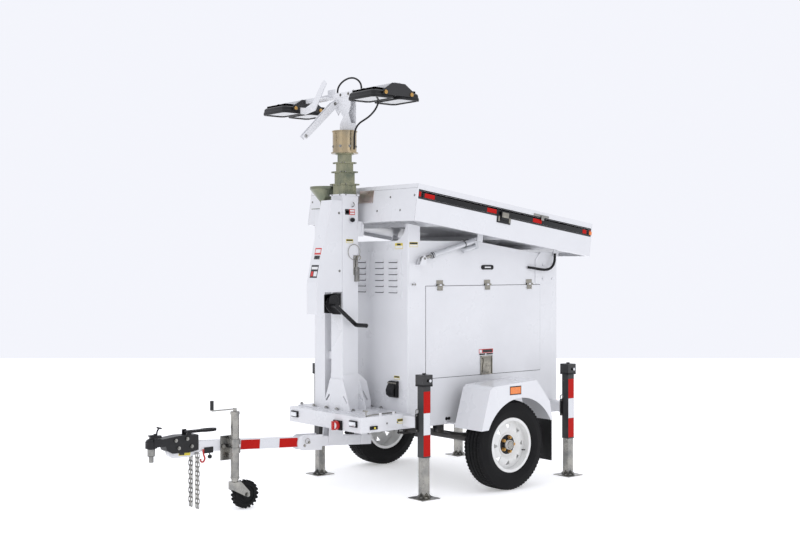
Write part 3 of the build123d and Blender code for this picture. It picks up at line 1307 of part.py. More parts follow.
with BuildPart(DRAWBAR_PLANE) as drawbar:
    brick((-drawbar_half, drawbar_half), (-DRAWBAR_LENGTH, 27), (-drawbar_half, drawbar_half))
    inner = drawbar_half - DRAWBAR_WALL
    brick((-inner, inner), (-DRAWBAR_LENGTH - 1, 28), (-inner, inner), Mode.SUBTRACT)
    for side in (1, -1):
        rod("X", (side * (drawbar_half - 8), 0, FOLD_PIN_UP - 6), 17, 16)
    rod("X", (0, 0, FOLD_PIN_UP), 9 + RUNNING_GAP, DRAWBAR_SIZE + 2, Mode.SUBTRACT)
    # Rounded tongue plate under the coupling, with its side plate
    with BuildSketch(tongue_plane):
        with BuildLine():
            Line((-DRAWBAR_LENGTH + 60, -drawbar_half), (-DRAWBAR_LENGTH + 60, -drawbar_half + 40))
            Line((-DRAWBAR_LENGTH + 60, -drawbar_half + 40), (-DRAWBAR_LENGTH - 190, -drawbar_half + 40))
            Line((-DRAWBAR_LENGTH - 190, -drawbar_half + 40), (-DRAWBAR_LENGTH - 190, -drawbar_half - 2))
            ThreePointArc(
                (-DRAWBAR_LENGTH - 190, -drawbar_half - 2),
                (-DRAWBAR_LENGTH - 178, -drawbar_half - 28),
                (-DRAWBAR_LENGTH - 150, -drawbar_half - 40),
            )
            Line((-DRAWBAR_LENGTH - 150, -drawbar_half - 40), (-DRAWBAR_LENGTH - 20, -drawbar_half - 34))
            Line((-DRAWBAR_LENGTH - 20, -drawbar_half - 34), (-DRAWBAR_LENGTH + 60, -drawbar_half))
        make_face()
    extrude(amount=52)
    # Cross rod that the safety chains hang from
    rod("X", DRAWBAR_PLANE.to_local_coords(Vector(0, CHAIN_Y, CHAIN_ROD_Z)), CHAIN_ROD_RADIUS, 140)
save(drawbar, "drawbar")

# ---- Ball coupling with its lock insert, and the coupling handle ----
CUP_RADIUS = 25
cup_y = COUPLER_NOSE_Y + COUPLER_NOSE_RADIUS
HANDLE_PIVOT_Y = -1560
HANDLE_PIVOT_Z = 552
coupler_rear = -1490
tongue_top = DRAWBAR_Z + slope_drop * (DRAWBAR_LENGTH + 100) + drawbar_half

with BuildPart() as coupler:
    # Body channel over the front of the drawbar
    with BuildSketch(Plane.YZ):
        with BuildLine():
            Polyline(
                (coupler_rear, 436), (coupler_rear, 541), (-1640, 546), (-1760, 534),
                (cup_y, 534), (cup_y, 482), (-1742, 482), (-1735, 452), (-1690, 428), (-1560, 424), close=True,
            )
        make_face()
    extrude(amount=COUPLER_HALF, both=True)
    with BuildSketch(Plane(origin=(0, cup_y, 0), x_dir=(1, 0, 0), z_dir=(0, -1, 0))):
        with BuildLine():
            Polyline((0, 538), (0, 474), (COUPLER_NOSE_RADIUS, 474), (COUPLER_NOSE_RADIUS, 516))
            ThreePointArc((COUPLER_NOSE_RADIUS, 516), (30, 531), (0, 538))
        make_face()
    revolve(axis=Axis((0, cup_y, 0), (0, 0, 1)))
    rod("Z", (0, cup_y, 488), CUP_RADIUS + 1, 40, Mode.SUBTRACT)
    # Room for the drawbar tube and tongue
    room = drawbar_half + RUNNING_GAP
    brick((-room, room), (-1716, coupler_rear + 1), (420, 515), Mode.SUBTRACT)
    for y, z in ((-1668, 516), (-1580, 520), (-1645, 462), (-1545, 466)):
        for x in (-COUPLER_HALF - 3, COUPLER_HALF + 3):
            rod("X", (x, y, z), 9, 8)
    # Lock insert hanging in the cup
    rod("Z", (0, cup_y, (420 + 508 - RUNNING_GAP) / 2), CUP_RADIUS + 1 - RUNNING_GAP, 508 - RUNNING_GAP - 420)
    rod("Z", (0, cup_y, 400), 16, 44)
    # Safety catch over the nose
    brick((-14, 14), (-1838, -1758), (538, 556))
    brick((-9, 9), (-1850, -1790), (555, 563))
    # Ears that carry the handle's pivot
    for side in (1, -1):
        brick((side * 30.5, side * 40), (HANDLE_PIVOT_Y - 16, HANDLE_PIVOT_Y + 16), (530, HANDLE_PIVOT_Z + 25))
    rod("X", (0, HANDLE_PIVOT_Y, HANDLE_PIVOT_Z + 9), 6 + RUNNING_GAP, 90, Mode.SUBTRACT)
save(coupler, "coupler")

with BuildPart() as coupler_handle:
    with BuildSketch(Plane.XY.offset(HANDLE_PIVOT_Z)):
        with Locations((0, HANDLE_PIVOT_Y + 165)):
            Ellipse(34, 70)
        with Locations((0, HANDLE_PIVOT_Y + 175)):
            Ellipse(19, 48, mode=Mode.SUBTRACT)
        with Locations((0, HANDLE_PIVOT_Y + 50)):
            Rectangle(36, 110)
    extrude(amount=18)
    rod("X", (0, HANDLE_PIVOT_Y, HANDLE_PIVOT_Z + 9), 9, 60)
    rod("X", (0, HANDLE_PIVOT_Y, HANDLE_PIVOT_Z + 9), 6, 84)
save(coupler_handle, "coupler_handle")

# ---- Jockey wheel: clamp and outer tube, crank, screw leg, swivel fork and wheel ----
JOCKEY_TOP = 690
JOCKEY_BOTTOM = 215
LEG_BOTTOM = 196
LEG_LENGTH = JOCKEY_TOP - LEG_BOTTOM - 28
drawbar_z_at_jockey = DRAWBAR_Z + slope_drop * (FOLD_Y - JOCKEY_Y)
wheel_y = JOCKEY_Y + JOCKEY_TRAIL
WHEEL_HALF = 28
FORK_SHEET = 5

with BuildPart() as jockey_tube:
    rod("Z", (JOCKEY_X, JOCKEY_Y, (JOCKEY_TOP + JOCKEY_BOTTOM) / 2), JOCKEY_TUBE, JOCKEY_TOP - JOCKEY_BOTTOM)
    rod("Z", (JOCKEY_X, JOCKEY_Y, (JOCKEY_TOP + JOCKEY_BOTTOM) / 2 - 6), JOCKEY_LEG + 1, JOCKEY_TOP - JOCKEY_BOTTOM, Mode.SUBTRACT)
    for z in (drawbar_z_at_jockey - 25, drawbar_z_at_jockey + 35):
        brick((drawbar_half + 12, JOCKEY_X), (JOCKEY_Y - 36, JOCKEY_Y + 36), (z - 18, z + 18))
        rod("Z", (JOCKEY_X, JOCKEY_Y, z), JOCKEY_TUBE + 9, 36)
    brick(
        (drawbar_half + RUNNING_GAP, drawbar_half + 12),
        (JOCKEY_Y - 75, JOCKEY_Y + 50),
        (drawbar_z_at_jockey - 100, drawbar_z_at_jockey + 72),
    )
    rod("Z", (JOCKEY_X, JOCKEY_Y, (JOCKEY_TOP + JOCKEY_BOTTOM) / 2 - 6), JOCKEY_LEG + 1, JOCKEY_TOP - JOCKEY_BOTTOM, Mode.SUBTRACT)
    for y in (JOCKEY_Y - 60, JOCKEY_Y + 40):
        rod("X", (drawbar_half + 16, y, drawbar_z_at_jockey), 9, 10)
save(jockey_tube, "jockey_tube")

CRANK_REACH = 185
with BuildPart() as jockey_crank:
    rod("Z", (JOCKEY_X, JOCKEY_Y, JOCKEY_TOP + RUNNING_GAP + 11), 13, 22)
    brick(
        (JOCKEY_X - 11, JOCKEY_X + 11),
        (JOCKEY_Y - CRANK_REACH, JOCKEY_Y),
        (JOCKEY_TOP + 12, JOCKEY_TOP + 20),
    )
    rod("Z", (JOCKEY_X, JOCKEY_Y - CRANK_REACH, JOCKEY_TOP + 52), 13, 68)
save(jockey_crank, "jockey_crank")

with BuildPart() as jockey_leg:
    rod("Z", (JOCKEY_X, JOCKEY_Y, LEG_BOTTOM + LEG_LENGTH / 2), JOCKEY_LEG, LEG_LENGTH)
save(jockey_leg, "jockey_leg")

with BuildPart() as jockey_fork:
    fork_top = LEG_BOTTOM - RUNNING_GAP
    brick(
        (JOCKEY_X - WHEEL_HALF - 10, JOCKEY_X + WHEEL_HALF + 10),
        (JOCKEY_Y - 30, JOCKEY_Y + 30),
        (fork_top - FORK_SHEET, fork_top),
    )
    brick(
        (JOCKEY_X - WHEEL_HALF - 10, JOCKEY_X + WHEEL_HALF + 10),
        (JOCKEY_Y - 30, JOCKEY_Y - 25),
        (fork_top - 55, fork_top),
    )
    for x in (JOCKEY_X - WHEEL_HALF - 10, JOCKEY_X + WHEEL_HALF + 10 - FORK_SHEET):
        with BuildSketch(Plane.YZ.offset(x)):
            with BuildLine():
                Polyline(
                    (JOCKEY_Y - 30, fork_top), (JOCKEY_Y - 30, fork_top - 55), (wheel_y - 18, 92),
                    (wheel_y, 84), (wheel_y + 18, 92), (wheel_y + 20, 120), (JOCKEY_Y + 30, fork_top), close=True,
                )
            make_face()
        extrude(amount=FORK_SHEET)
    rod("X", (JOCKEY_X, wheel_y, JOCKEY_WHEEL_RADIUS), 9, 2 * WHEEL_HALF + 34)
save(jockey_fork, "jockey_fork")

with BuildPart() as jockey_wheel:
    with BuildSketch(Plane(origin=(JOCKEY_X, wheel_y, JOCKEY_WHEEL_RADIUS), x_dir=(1, 0, 0), z_dir=(0, -1, 0))):
        with BuildLine():
            Line((-WHEEL_HALF, 9 + RUNNING_GAP), (WHEEL_HALF, 9 + RUNNING_GAP))
            Line((WHEEL_HALF, 9 + RUNNING_GAP), (WHEEL_HALF, JOCKEY_WHEEL_RADIUS - 20))
            ThreePointArc(
                (WHEEL_HALF, JOCKEY_WHEEL_RADIUS - 20), (0, JOCKEY_WHEEL_RADIUS), (-WHEEL_HALF, JOCKEY_WHEEL_RADIUS - 20)
            )
            Line((-WHEEL_HALF, JOCKEY_WHEEL_RADIUS - 20), (-WHEEL_HALF, 9 + RUNNING_GAP))
        make_face()
        for x in (-WHEEL_HALF, WHEEL_HALF):
            with Locations((x, 48)):
                Rectangle(24, 40, mode=Mode.SUBTRACT)
    revolve(axis=Axis((JOCKEY_X, wheel_y, JOCKEY_WHEEL_RADIUS), (1, 0, 0)))
save(jockey_wheel, "jockey_wheel")

# ---- Safety chains: two doubled chains hanging from the tongue ----
CHAIN_TOP = CHAIN_ROD_Z + CHAIN_ROD_RADIUS + RUNNING_GAP
CHAIN_PLACES = (34, 58, -34, -58)
pitch = LINK_INNER - 0.4

with BuildPart() as safety_chains:
    for x in CHAIN_PLACES:
        for number in range(LINKS):
            z = CHAIN_TOP - LINK_INNER / 2 - number * pitch
            flat = Plane.XZ if number % 2 else Plane.YZ
            with BuildSketch(Plane(origin=(x, CHAIN_Y, z), x_dir=flat.x_dir, z_dir=flat.z_dir)):
                SlotOverall(LINK_INNER + 2 * LINK_WIRE, LINK_WIDTH, rotation=90)
                SlotOverall(LINK_INNER, LINK_WIDTH - 2 * LINK_WIRE, rotation=90, mode=Mode.SUBTRACT)
            extrude(amount=LINK_WIRE / 2, both=True)
save(safety_chains, "safety_chains")
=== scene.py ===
import math

import bmesh
import bpy
from mathutils import Matrix, Vector


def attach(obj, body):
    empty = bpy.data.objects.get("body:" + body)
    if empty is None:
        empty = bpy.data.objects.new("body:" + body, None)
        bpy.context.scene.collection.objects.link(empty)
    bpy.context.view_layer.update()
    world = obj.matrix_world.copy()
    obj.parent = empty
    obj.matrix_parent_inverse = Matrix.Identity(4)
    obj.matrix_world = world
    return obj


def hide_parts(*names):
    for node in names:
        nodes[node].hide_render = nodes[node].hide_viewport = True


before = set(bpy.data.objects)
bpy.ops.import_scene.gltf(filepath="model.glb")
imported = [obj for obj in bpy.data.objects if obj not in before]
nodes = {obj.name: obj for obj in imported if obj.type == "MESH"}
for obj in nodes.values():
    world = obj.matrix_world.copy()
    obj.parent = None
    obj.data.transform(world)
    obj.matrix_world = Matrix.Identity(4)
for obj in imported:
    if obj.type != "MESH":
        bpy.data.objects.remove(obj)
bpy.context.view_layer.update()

# ---- Studio and camera ----
# A white floor that ends in a straight far edge, a pale lilac room behind it, and large soft lamps
# in front and overhead. The camera stands level at eye height, off the trailer's front left corner.
CAMERA_PLACE = Vector((7.2346, -5.5835, 1.7192))
CAMERA_TURN = math.radians(50.636)
LENS = 52.94
HORIZON_SHIFT = -0.0161
FLOOR_BEYOND = 21.6
view_along = Vector((-math.sin(CAMERA_TURN), math.cos(CAMERA_TURN), 0))
view_right = Vector((math.cos(CAMERA_TURN), math.sin(CAMERA_TURN), 0))

camera_data = bpy.data.cameras.new("camera")
camera_data.lens = LENS
camera_data.sensor_width = 36
camera_data.shift_y = HORIZON_SHIFT
camera = bpy.data.objects.new("camera", camera_data)
camera.location = CAMERA_PLACE
camera.rotation_euler = (math.pi / 2, 0, CAMERA_TURN)
bpy.context.scene.collection.objects.link(camera)
bpy.context.scene.camera = camera

room = bpy.data.worlds.new("room")
room.use_nodes = True
room.node_tree.nodes["Background"].inputs["Color"].default_value = (0.905, 0.915, 0.975, 1)
room.node_tree.nodes["Background"].inputs["Strength"].default_value = 1.0
bpy.context.scene.world = room
bpy.context.scene.view_settings.view_transform = "Standard"


def add_node(tree, kind, inputs=(), **settings):
    """A node with its settings, and each input given a value or a link."""
    node = tree.nodes.new(kind)
    for key, value in settings.items():
        setattr(node, key, value)
    for key, value in dict(inputs).items():
        if isinstance(value, bpy.types.NodeSocket):
            tree.links.new(value, node.inputs[key])
        else:
            node.inputs[key].default_value = value
    return node


floor_material = bpy.data.materials.new("studio_floor")
floor_material.use_nodes = True
floor_tree = floor_material.node_tree
floor_shader = floor_tree.nodes["Principled BSDF"]
floor_noise = add_node(floor_tree, "ShaderNodeTexNoise", {"Scale": 0.8, "Detail": 2.0})
floor_ramp = add_node(floor_tree, "ShaderNodeValToRGB", {"Fac": floor_noise.outputs["Fac"]})
floor_ramp.color_ramp.elements[0].color = (0.93, 0.93, 0.935, 1)
floor_ramp.color_ramp.elements[1].color = (0.96, 0.96, 0.96, 1)
floor_tree.links.new(floor_ramp.outputs["Color"], floor_shader.inputs["Base Color"])
floor_shader.inputs["Roughness"].default_value = 0.9
floor_shader.inputs["Emission Color"].default_value = (1, 1, 1, 1)
floor_shader.inputs["Emission Strength"].default_value = 0.35
floor_mesh = bpy.data.meshes.new("studio_floor")
far_middle = CAMERA_PLACE + view_along * FLOOR_BEYOND
corners = [
    far_middle + view_right * side - view_along * back
    for side, back in ((-45, 0), (45, 0), (45, 70), (-45, 70))
]
floor_mesh.from_pydata([(p.x, p.y, -0.001) for p in corners], [], [(0, 3, 2, 1)])
floor_mesh.materials.append(floor_material)
floor = bpy.data.objects.new("studio_floor", floor_mesh)
bpy.context.scene.collection.objects.link(floor)

for place, aim, size, power in (
    ((2.0, -9.0, 6.0), (0, 0, 1.2), 5.0, 40),
    ((9.0, 1.0, 5.0), (0, 0.5, 1.2), 5.0, 45),
    ((-6.0, 3.0, 6.0), (0, 0, 1.0), 5.0, 20),
    ((0.0, 0.5, 9.0), (0, 0, 1.0), 6.0, 70),
):
    lamp_data = bpy.data.lights.new("soft_lamp", "AREA")
    lamp_data.size = size
    lamp_data.energy = power
    lamp = bpy.data.objects.new("soft_lamp", lamp_data)
    lamp.location = place
    lamp.rotation_euler = (Vector(aim) - Vector(place)).to_track_quat("-Z", "Y").to_euler()
    bpy.context.scene.collection.objects.link(lamp)

# ---- Head cables and the conduit ----
# Two black rubber-sheathed lamp cables: one arches over the cross bar, one loops down from it to the
# turning drum. A corrugated conduit carries the panels' leads from the cabinet's side to the box.


def finish(
    name, colour, roughness, metal=0.0, second=None, patch=4.0, spread=0.06, grain=700.0, grain_height=0.25,
    coat=0.0, shine=0.5,
):
    """A surface finish: colour and gloss drift in soft patches, and a fine grain lifts the surface."""
    material = bpy.data.materials.new(name)
    material.use_nodes = True
    tree = material.node_tree
    shader = tree.nodes["Principled BSDF"]
    place = add_node(tree, "ShaderNodeTexCoord").outputs["Object"]
    drift = add_node(
        tree, "ShaderNodeTexNoise", {"Vector": place, "Scale": patch, "Detail": 5.0, "Roughness": 0.6}
    )
    ramp = add_node(tree, "ShaderNodeValToRGB", {"Fac": drift.outputs["Fac"]})
    ramp.color_ramp.elements[0].position = 0.32
    ramp.color_ramp.elements[1].position = 0.68
    ramp.color_ramp.elements[0].color = (*colour, 1)
    ramp.color_ramp.elements[1].color = (*(second or [c * 0.94 for c in colour]), 1)
    gloss = add_node(
        tree, "ShaderNodeMapRange",
        {
            "Value": drift.outputs["Fac"], "From Min": 0.3, "From Max": 0.7, "To Min": roughness - spread,
            "To Max": roughness + spread,
        },
    )
    fine = add_node(tree, "ShaderNodeTexNoise", {"Vector": place, "Scale": grain, "Detail": 2.0})
    lift = add_node(
        tree, "ShaderNodeBump", {"Height": fine.outputs["Fac"], "Strength": grain_height, "Distance": 0.0004}
    )
    tree.links.new(ramp.outputs["Color"], shader.inputs["Base Color"])
    tree.links.new(gloss.outputs["Result"], shader.inputs["Roughness"])
    tree.links.new(lift.outputs["Normal"], shader.inputs["Normal"])
    shader.inputs["Metallic"].default_value = metal
    shader.inputs["Coat Weight"].default_value = coat
    shader.inputs["Specular IOR Level"].default_value = shine
    return material


cable_sheath = finish("cable_sheath", (0.006, 0.006, 0.007), 0.42, patch=30, grain=900, shine=0.25)

ARCH_POINTS = (
    (-0.116, -0.179, 3.0413), (-0.116, -0.179, 3.072), (-0.096, -0.179, 3.102), (-0.056, -0.179, 3.126),
    (-0.004, -0.178, 3.142), (0.056, -0.177, 3.146), (0.112, -0.177, 3.134), (0.158, -0.177, 3.108),
    (0.184, -0.176, 3.074), (0.184, -0.176, 3.0413),
)
LOOP_POINTS = (
    (0.400, -0.175, 3.0047), (0.400, -0.175, 2.965), (0.388, -0.174, 2.922), (0.362, -0.173, 2.884),
    (0.322, -0.174, 2.852), (0.276, -0.177, 2.826), (0.228, -0.181, 2.808), (0.184, -0.187, 2.792),
    (0.148, -0.193, 2.766), (0.128, -0.196, 2.728), (0.122, -0.197, 2.684), (0.124, -0.197, 2.638),
    (0.120, -0.197, 2.592),
)
CONDUIT_POINTS = (
    (0.4666, 1.318, 1.697), (0.489, 1.340, 1.694), (0.495, 1.410, 1.684), (0.499, 1.474, 1.676),
    (0.503, 1.530, 1.680), (0.505, 1.574, 1.706), (0.505, 1.596, 1.746), (0.505, 1.598, 1.786),
    (0.505, 1.598, 1.812),
)


def smooth_route(name, points, radius):
    """A round cable along a smooth line."""
    curve = bpy.data.curves.new(name, "CURVE")
    curve.dimensions = "3D"
    curve.bevel_depth = radius
    curve.bevel_resolution = 5
    curve.use_fill_caps = True
    spline = curve.splines.new("NURBS")
    spline.points.add(len(points) - 1)
    for knot, point in zip(spline.points, points):
        knot.co = (*point, 1)
    spline.order_u = 3
    spline.use_endpoint_u = True
    spline.resolution_u = 8
    piece = bpy.data.objects.new(name, curve)
    bpy.context.scene.collection.objects.link(piece)
    return piece


def centre_line(points):
    """The smooth line itself, as points."""
    route = smooth_route("route", points, 0)
    line = bpy.data.meshes.new_from_object(route)
    found = [vertex.co.copy() for vertex in line.vertices]
    bpy.data.objects.remove(route)
    bpy.data.meshes.remove(line)
    return found


def run_length(points):
    return sum((b - a).length for a, b in zip(points, points[1:]))


for name, node, points in (
    ("lamp_cable_arch", "arch_cable", ARCH_POINTS),
    ("lamp_cable_loop", "loop_cable", LOOP_POINTS),
):
    piece = smooth_route(name, points, 0.007)
    piece.data.materials.append(cable_sheath)
    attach(piece, "head")
    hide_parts(node)
    run_length(centre_line(points))


def sweep_ring(mesh, points, radii, sides=14):
    """A closed round tube along points, with its own radius at each one."""
    rings = []
    turn = None
    for index, point in enumerate(points):
        before = points[max(index - 1, 0)]
        after = points[min(index + 1, len(points) - 1)]
        along = (Vector(after) - Vector(before)).normalized()
        if turn is None:
            start = Vector((0, 0, 1)) if abs(along.z) < 0.9 else Vector((1, 0, 0))
            turn = (start - along * start.dot(along)).normalized()
        turn = (turn - along * turn.dot(along)).normalized()
        across = along.cross(turn)
        rings.append([
            mesh.verts.new(Vector(point) + (turn * math.cos(a) + across * math.sin(a)) * radii[index])
            for a in (2 * math.pi * side / sides for side in range(sides))
        ])
    for low, high in zip(rings, rings[1:]):
        for side in range(sides):
            other = (side + 1) % sides
            mesh.faces.new((low[side], low[other], high[other], high[side]))
    mesh.faces.new(list(reversed(rings[0])))
    mesh.faces.new(rings[-1])


def make_piece(name, mesh, material, body, bevel=0.0, segments=2, sharp=35, extra=()):
    """Finishes a hand-made mesh: rounds its edges, shades it, and lets it move with a body."""
    bmesh.ops.recalc_face_normals(mesh, faces=mesh.faces)
    if bevel:
        edges = [e for e in mesh.edges if len(e.link_faces) == 2 and e.calc_face_angle(0) > math.radians(30)]
        bmesh.ops.bevel(
            mesh, geom=edges, offset=bevel, segments=segments, profile=0.6, affect="EDGES", clamp_overlap=True
        )
        bmesh.ops.recalc_face_normals(mesh, faces=mesh.faces)
    for face in mesh.faces:
        face.smooth = True
    for edge in mesh.edges:
        edge.smooth = len(edge.link_faces) == 2 and edge.calc_face_angle(0) < math.radians(sharp)
    data = bpy.data.meshes.new(name)
    mesh.to_mesh(data)
    mesh.free()
    for kind in (material, *extra):
        data.materials.append(kind)
    piece = bpy.data.objects.new(name, data)
    bpy.context.scene.collection.objects.link(piece)
    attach(piece, body)
    return piece


conduit_line = centre_line(CONDUIT_POINTS)
fine_line = []
for a, b in zip(conduit_line, conduit_line[1:]):
    steps = max(1, round((b - a).length / 0.0016))
    fine_line += [a.lerp(b, step / steps) for step in range(steps)]
fine_line.append(conduit_line[-1])
conduit_mesh = bmesh.new()
ridges = [
    0.0094 + 0.0016 * (0.5 + 0.5 * math.sin(index * 2 * math.pi / 4)) for index in range(len(fine_line))
]
sweep_ring(conduit_mesh, fine_line, ridges)
conduit = make_piece("panel_lead_conduit", conduit_mesh, cable_sheath, "chassis", sharp=60)
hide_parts("panel_conduit")

# ---- Chassis, fenders and mast foot ----
# Folded and welded steel in a glossy white powder coat, with a fine orange-peel texture. Black flaps
# hang behind the wheels. Zinc-plated hexagon bolts on washers hold the mast's foot, and black ones the guards.
white_coat = finish(
    "white_powder_coat", (0.73, 0.735, 0.755), 0.30, second=(0.69, 0.695, 0.715), patch=2.2, grain=420,
    grain_height=0.12, coat=0.15,
)
black_coat = finish(
    "black_powder_coat", (0.008, 0.008, 0.009), 0.36, second=(0.013, 0.013, 0.014), patch=9, grain=520,
    grain_height=0.2, shine=0.3,
)
zinc_plate = finish(
    "zinc_plate", (0.36, 0.35, 0.32), 0.28, metal=1.0, second=(0.22, 0.22, 0.215), patch=14, spread=0.1,
    grain=260, grain_height=0.15,
)
yellow_zinc = finish(
    "yellow_passivated_zinc", (0.34, 0.33, 0.22), 0.26, metal=1.0, second=(0.14, 0.16, 0.12), patch=9,
    spread=0.08, grain=200, grain_height=0.12,
)
stainless = finish(
    "brushed_stainless", (0.36, 0.34, 0.29), 0.30, metal=1.0, second=(0.25, 0.24, 0.21), patch=40, spread=0.1,
    grain=600, grain_height=0.2,
)
rubber = finish(
    "black_rubber", (0.006, 0.006, 0.007), 0.68, second=(0.010, 0.010, 0.010), patch=12, grain=600,
    grain_height=0.4, shine=0.15,
)
black_plastic = finish(
    "black_plastic", (0.007, 0.007, 0.008), 0.45, patch=25, grain=900, grain_height=0.3, shine=0.25
)
dark_steel = finish(
    "dark_undercarriage_steel", (0.028, 0.028, 0.030), 0.5, second=(0.05, 0.045, 0.04), patch=14, metal=0.3,
    grain=260, grain_height=0.5,
)
red_tape = finish(
    "red_reflective_tape", (0.50, 0.008, 0.005), 0.45, second=(0.40, 0.006, 0.004), patch=160, grain=1400,
    grain_height=0.4, shine=0.12,
)
white_tape = finish(
    "white_reflective_tape", (0.74, 0.75, 0.77), 0.34, second=(0.64, 0.65, 0.68), patch=160, grain=1400,
    grain_height=0.5, shine=0.3,
)
grey_case = finish(
    "cast_grey_cover", (0.33, 0.34, 0.36), 0.38, metal=0.6, patch=25, grain=700, grain_height=0.3
)


def two_zones(name, first, second, axis, limit, mirrored=False, pairs=()):
    """One finish up to a place along an axis, and another past it, as on a piece coated in two stages.

    With pairs, the second finish is on thin plates that stand a distance each side of a middle.
    """
    material = first.copy()
    material.name = name
    tree = material.node_tree
    shader = tree.nodes["Principled BSDF"]
    place = add_node(tree, "ShaderNodeTexCoord").outputs["Object"]
    apart = add_node(tree, "ShaderNodeSeparateXYZ", {"Vector": place}).outputs["XYZ".index(axis)]
    if mirrored:
        apart = add_node(tree, "ShaderNodeMath", {0: apart}, operation="ABSOLUTE").outputs[0]
    if pairs:
        nearest = None
        for middle, reach in pairs:
            off = add_node(tree, "ShaderNodeMath", {0: apart, 1: middle}, operation="SUBTRACT").outputs[0]
            off = add_node(tree, "ShaderNodeMath", {0: off}, operation="ABSOLUTE").outputs[0]
            off = add_node(tree, "ShaderNodeMath", {0: off, 1: reach}, operation="SUBTRACT").outputs[0]
            off = add_node(tree, "ShaderNodeMath", {0: off}, operation="ABSOLUTE").outputs[0]
            nearest = off if nearest is None else add_node(
                tree, "ShaderNodeMath", {0: nearest, 1: off}, operation="MINIMUM"
            ).outputs[0]
        past = add_node(tree, "ShaderNodeMath", {0: nearest, 1: limit}, operation="LESS_THAN").outputs[0]
    else:
        past = add_node(tree, "ShaderNodeMath", {0: apart, 1: limit}, operation="GREATER_THAN").outputs[0]
    other = second.node_tree.nodes["Principled BSDF"]
    ramp = next(n for n in second.node_tree.nodes if n.type == "VALTORGB")
    drift = next(n for n in tree.nodes if n.type == "TEX_NOISE")
    far_ramp = add_node(tree, "ShaderNodeValToRGB", {"Fac": drift.outputs["Fac"]})
    for mine, theirs in zip(far_ramp.color_ramp.elements, ramp.color_ramp.elements):
        mine.position = theirs.position
        mine.color = theirs.color
    near_colour = shader.inputs["Base Color"].links[0].from_socket
    mixed = add_node(
        tree, "ShaderNodeMix", {0: past, 6: near_colour, 7: far_ramp.outputs["Color"]}, data_type="RGBA"
    )
    tree.links.new(mixed.outputs[2], shader.inputs["Base Color"])
    gloss = next(n for n in second.node_tree.nodes if n.type == "MAP_RANGE")
    far_gloss = add_node(tree, "ShaderNodeMapRange", {"Value": drift.outputs["Fac"]})
    for socket in ("From Min", "From Max", "To Min", "To Max"):
        far_gloss.inputs[socket].default_value = gloss.inputs[socket].default_value
    near_gloss = shader.inputs["Roughness"].links[0].from_socket
    rough = add_node(
        tree, "ShaderNodeMix", {0: past, 2: near_gloss, 3: far_gloss.outputs["Result"]}, data_type="FLOAT"
    )
    tree.links.new(rough.outputs[0], shader.inputs["Roughness"])
    near_metal = shader.inputs["Metallic"].default_value
    far_metal = other.inputs["Metallic"].default_value
    if near_metal != far_metal:
        metal = add_node(
            tree, "ShaderNodeMapRange", {"Value": past, "To Min": near_metal, "To Max": far_metal}
        )
        tree.links.new(metal.outputs["Result"], shader.inputs["Metallic"])
    return material


def coat(material, *names):
    """Gives CAD pieces their finish."""
    for name in names:
        for held in nodes[name].material_slots:
            held.material = material


FLAP_FRONT = 1.18015
coat(white_coat, "chassis_frame", "mast_base", "drawbar_socket")
coat(two_zones("white_guards_black_flaps", white_coat, rubber, "Y", FLAP_FRONT), "fenders")
coat(dark_steel, "axle")
coat(black_plastic, "battery_bank")


def grown(tree_name, inputs):
    """A geometry tree with named inputs, and its way in and out."""
    tree = bpy.data.node_groups.new(tree_name, "GeometryNodeTree")
    tree.interface.new_socket("Geometry", in_out="INPUT", socket_type="NodeSocketGeometry")
    tree.interface.new_socket("Geometry", in_out="OUTPUT", socket_type="NodeSocketGeometry")
    for name, kind in inputs:
        tree.interface.new_socket(name, in_out="INPUT", socket_type=f"NodeSocket{kind}")
    return tree, tree.nodes.new("NodeGroupInput"), tree.nodes.new("NodeGroupOutput")


def close_tree(tree, way_out, geometry, material):
    """Ends a tree: real copies, then their material."""
    real = add_node(tree, "GeometryNodeRealizeInstances", {"Geometry": geometry})
    painted = add_node(tree, "GeometryNodeSetMaterial", {"Geometry": real.outputs[0], "Material": material})
    tree.links.new(painted.outputs[0], way_out.inputs[0])


def grow(name, seed_mesh, tree, sizes, body, place=None, sharp=30):
    """Runs a tree on a seed mesh, and keeps the result as a plain mesh that moves with a body."""
    seed = bpy.data.objects.new(name, seed_mesh)
    bpy.context.scene.collection.objects.link(seed)
    modifier = seed.modifiers.new("grow", "NODES")
    modifier.node_group = tree
    for item in tree.interface.items_tree:
        if item.in_out == "INPUT" and item.name in sizes:
            modifier[item.identifier] = sizes[item.name]
    found = seed.evaluated_get(bpy.context.evaluated_depsgraph_get())
    result = bpy.data.meshes.new_from_object(found)
    seed.modifiers.remove(modifier)
    seed.data = result
    if place is not None:
        result.transform(place)
    shape = bmesh.new()
    shape.from_mesh(result)
    for face in shape.faces:
        face.smooth = True
    for edge in shape.edges:
        edge.smooth = len(edge.link_faces) == 2 and edge.calc_face_angle(0) < math.radians(sharp)
    shape.to_mesh(result)
    shape.free()
    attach(seed, body)
    return seed


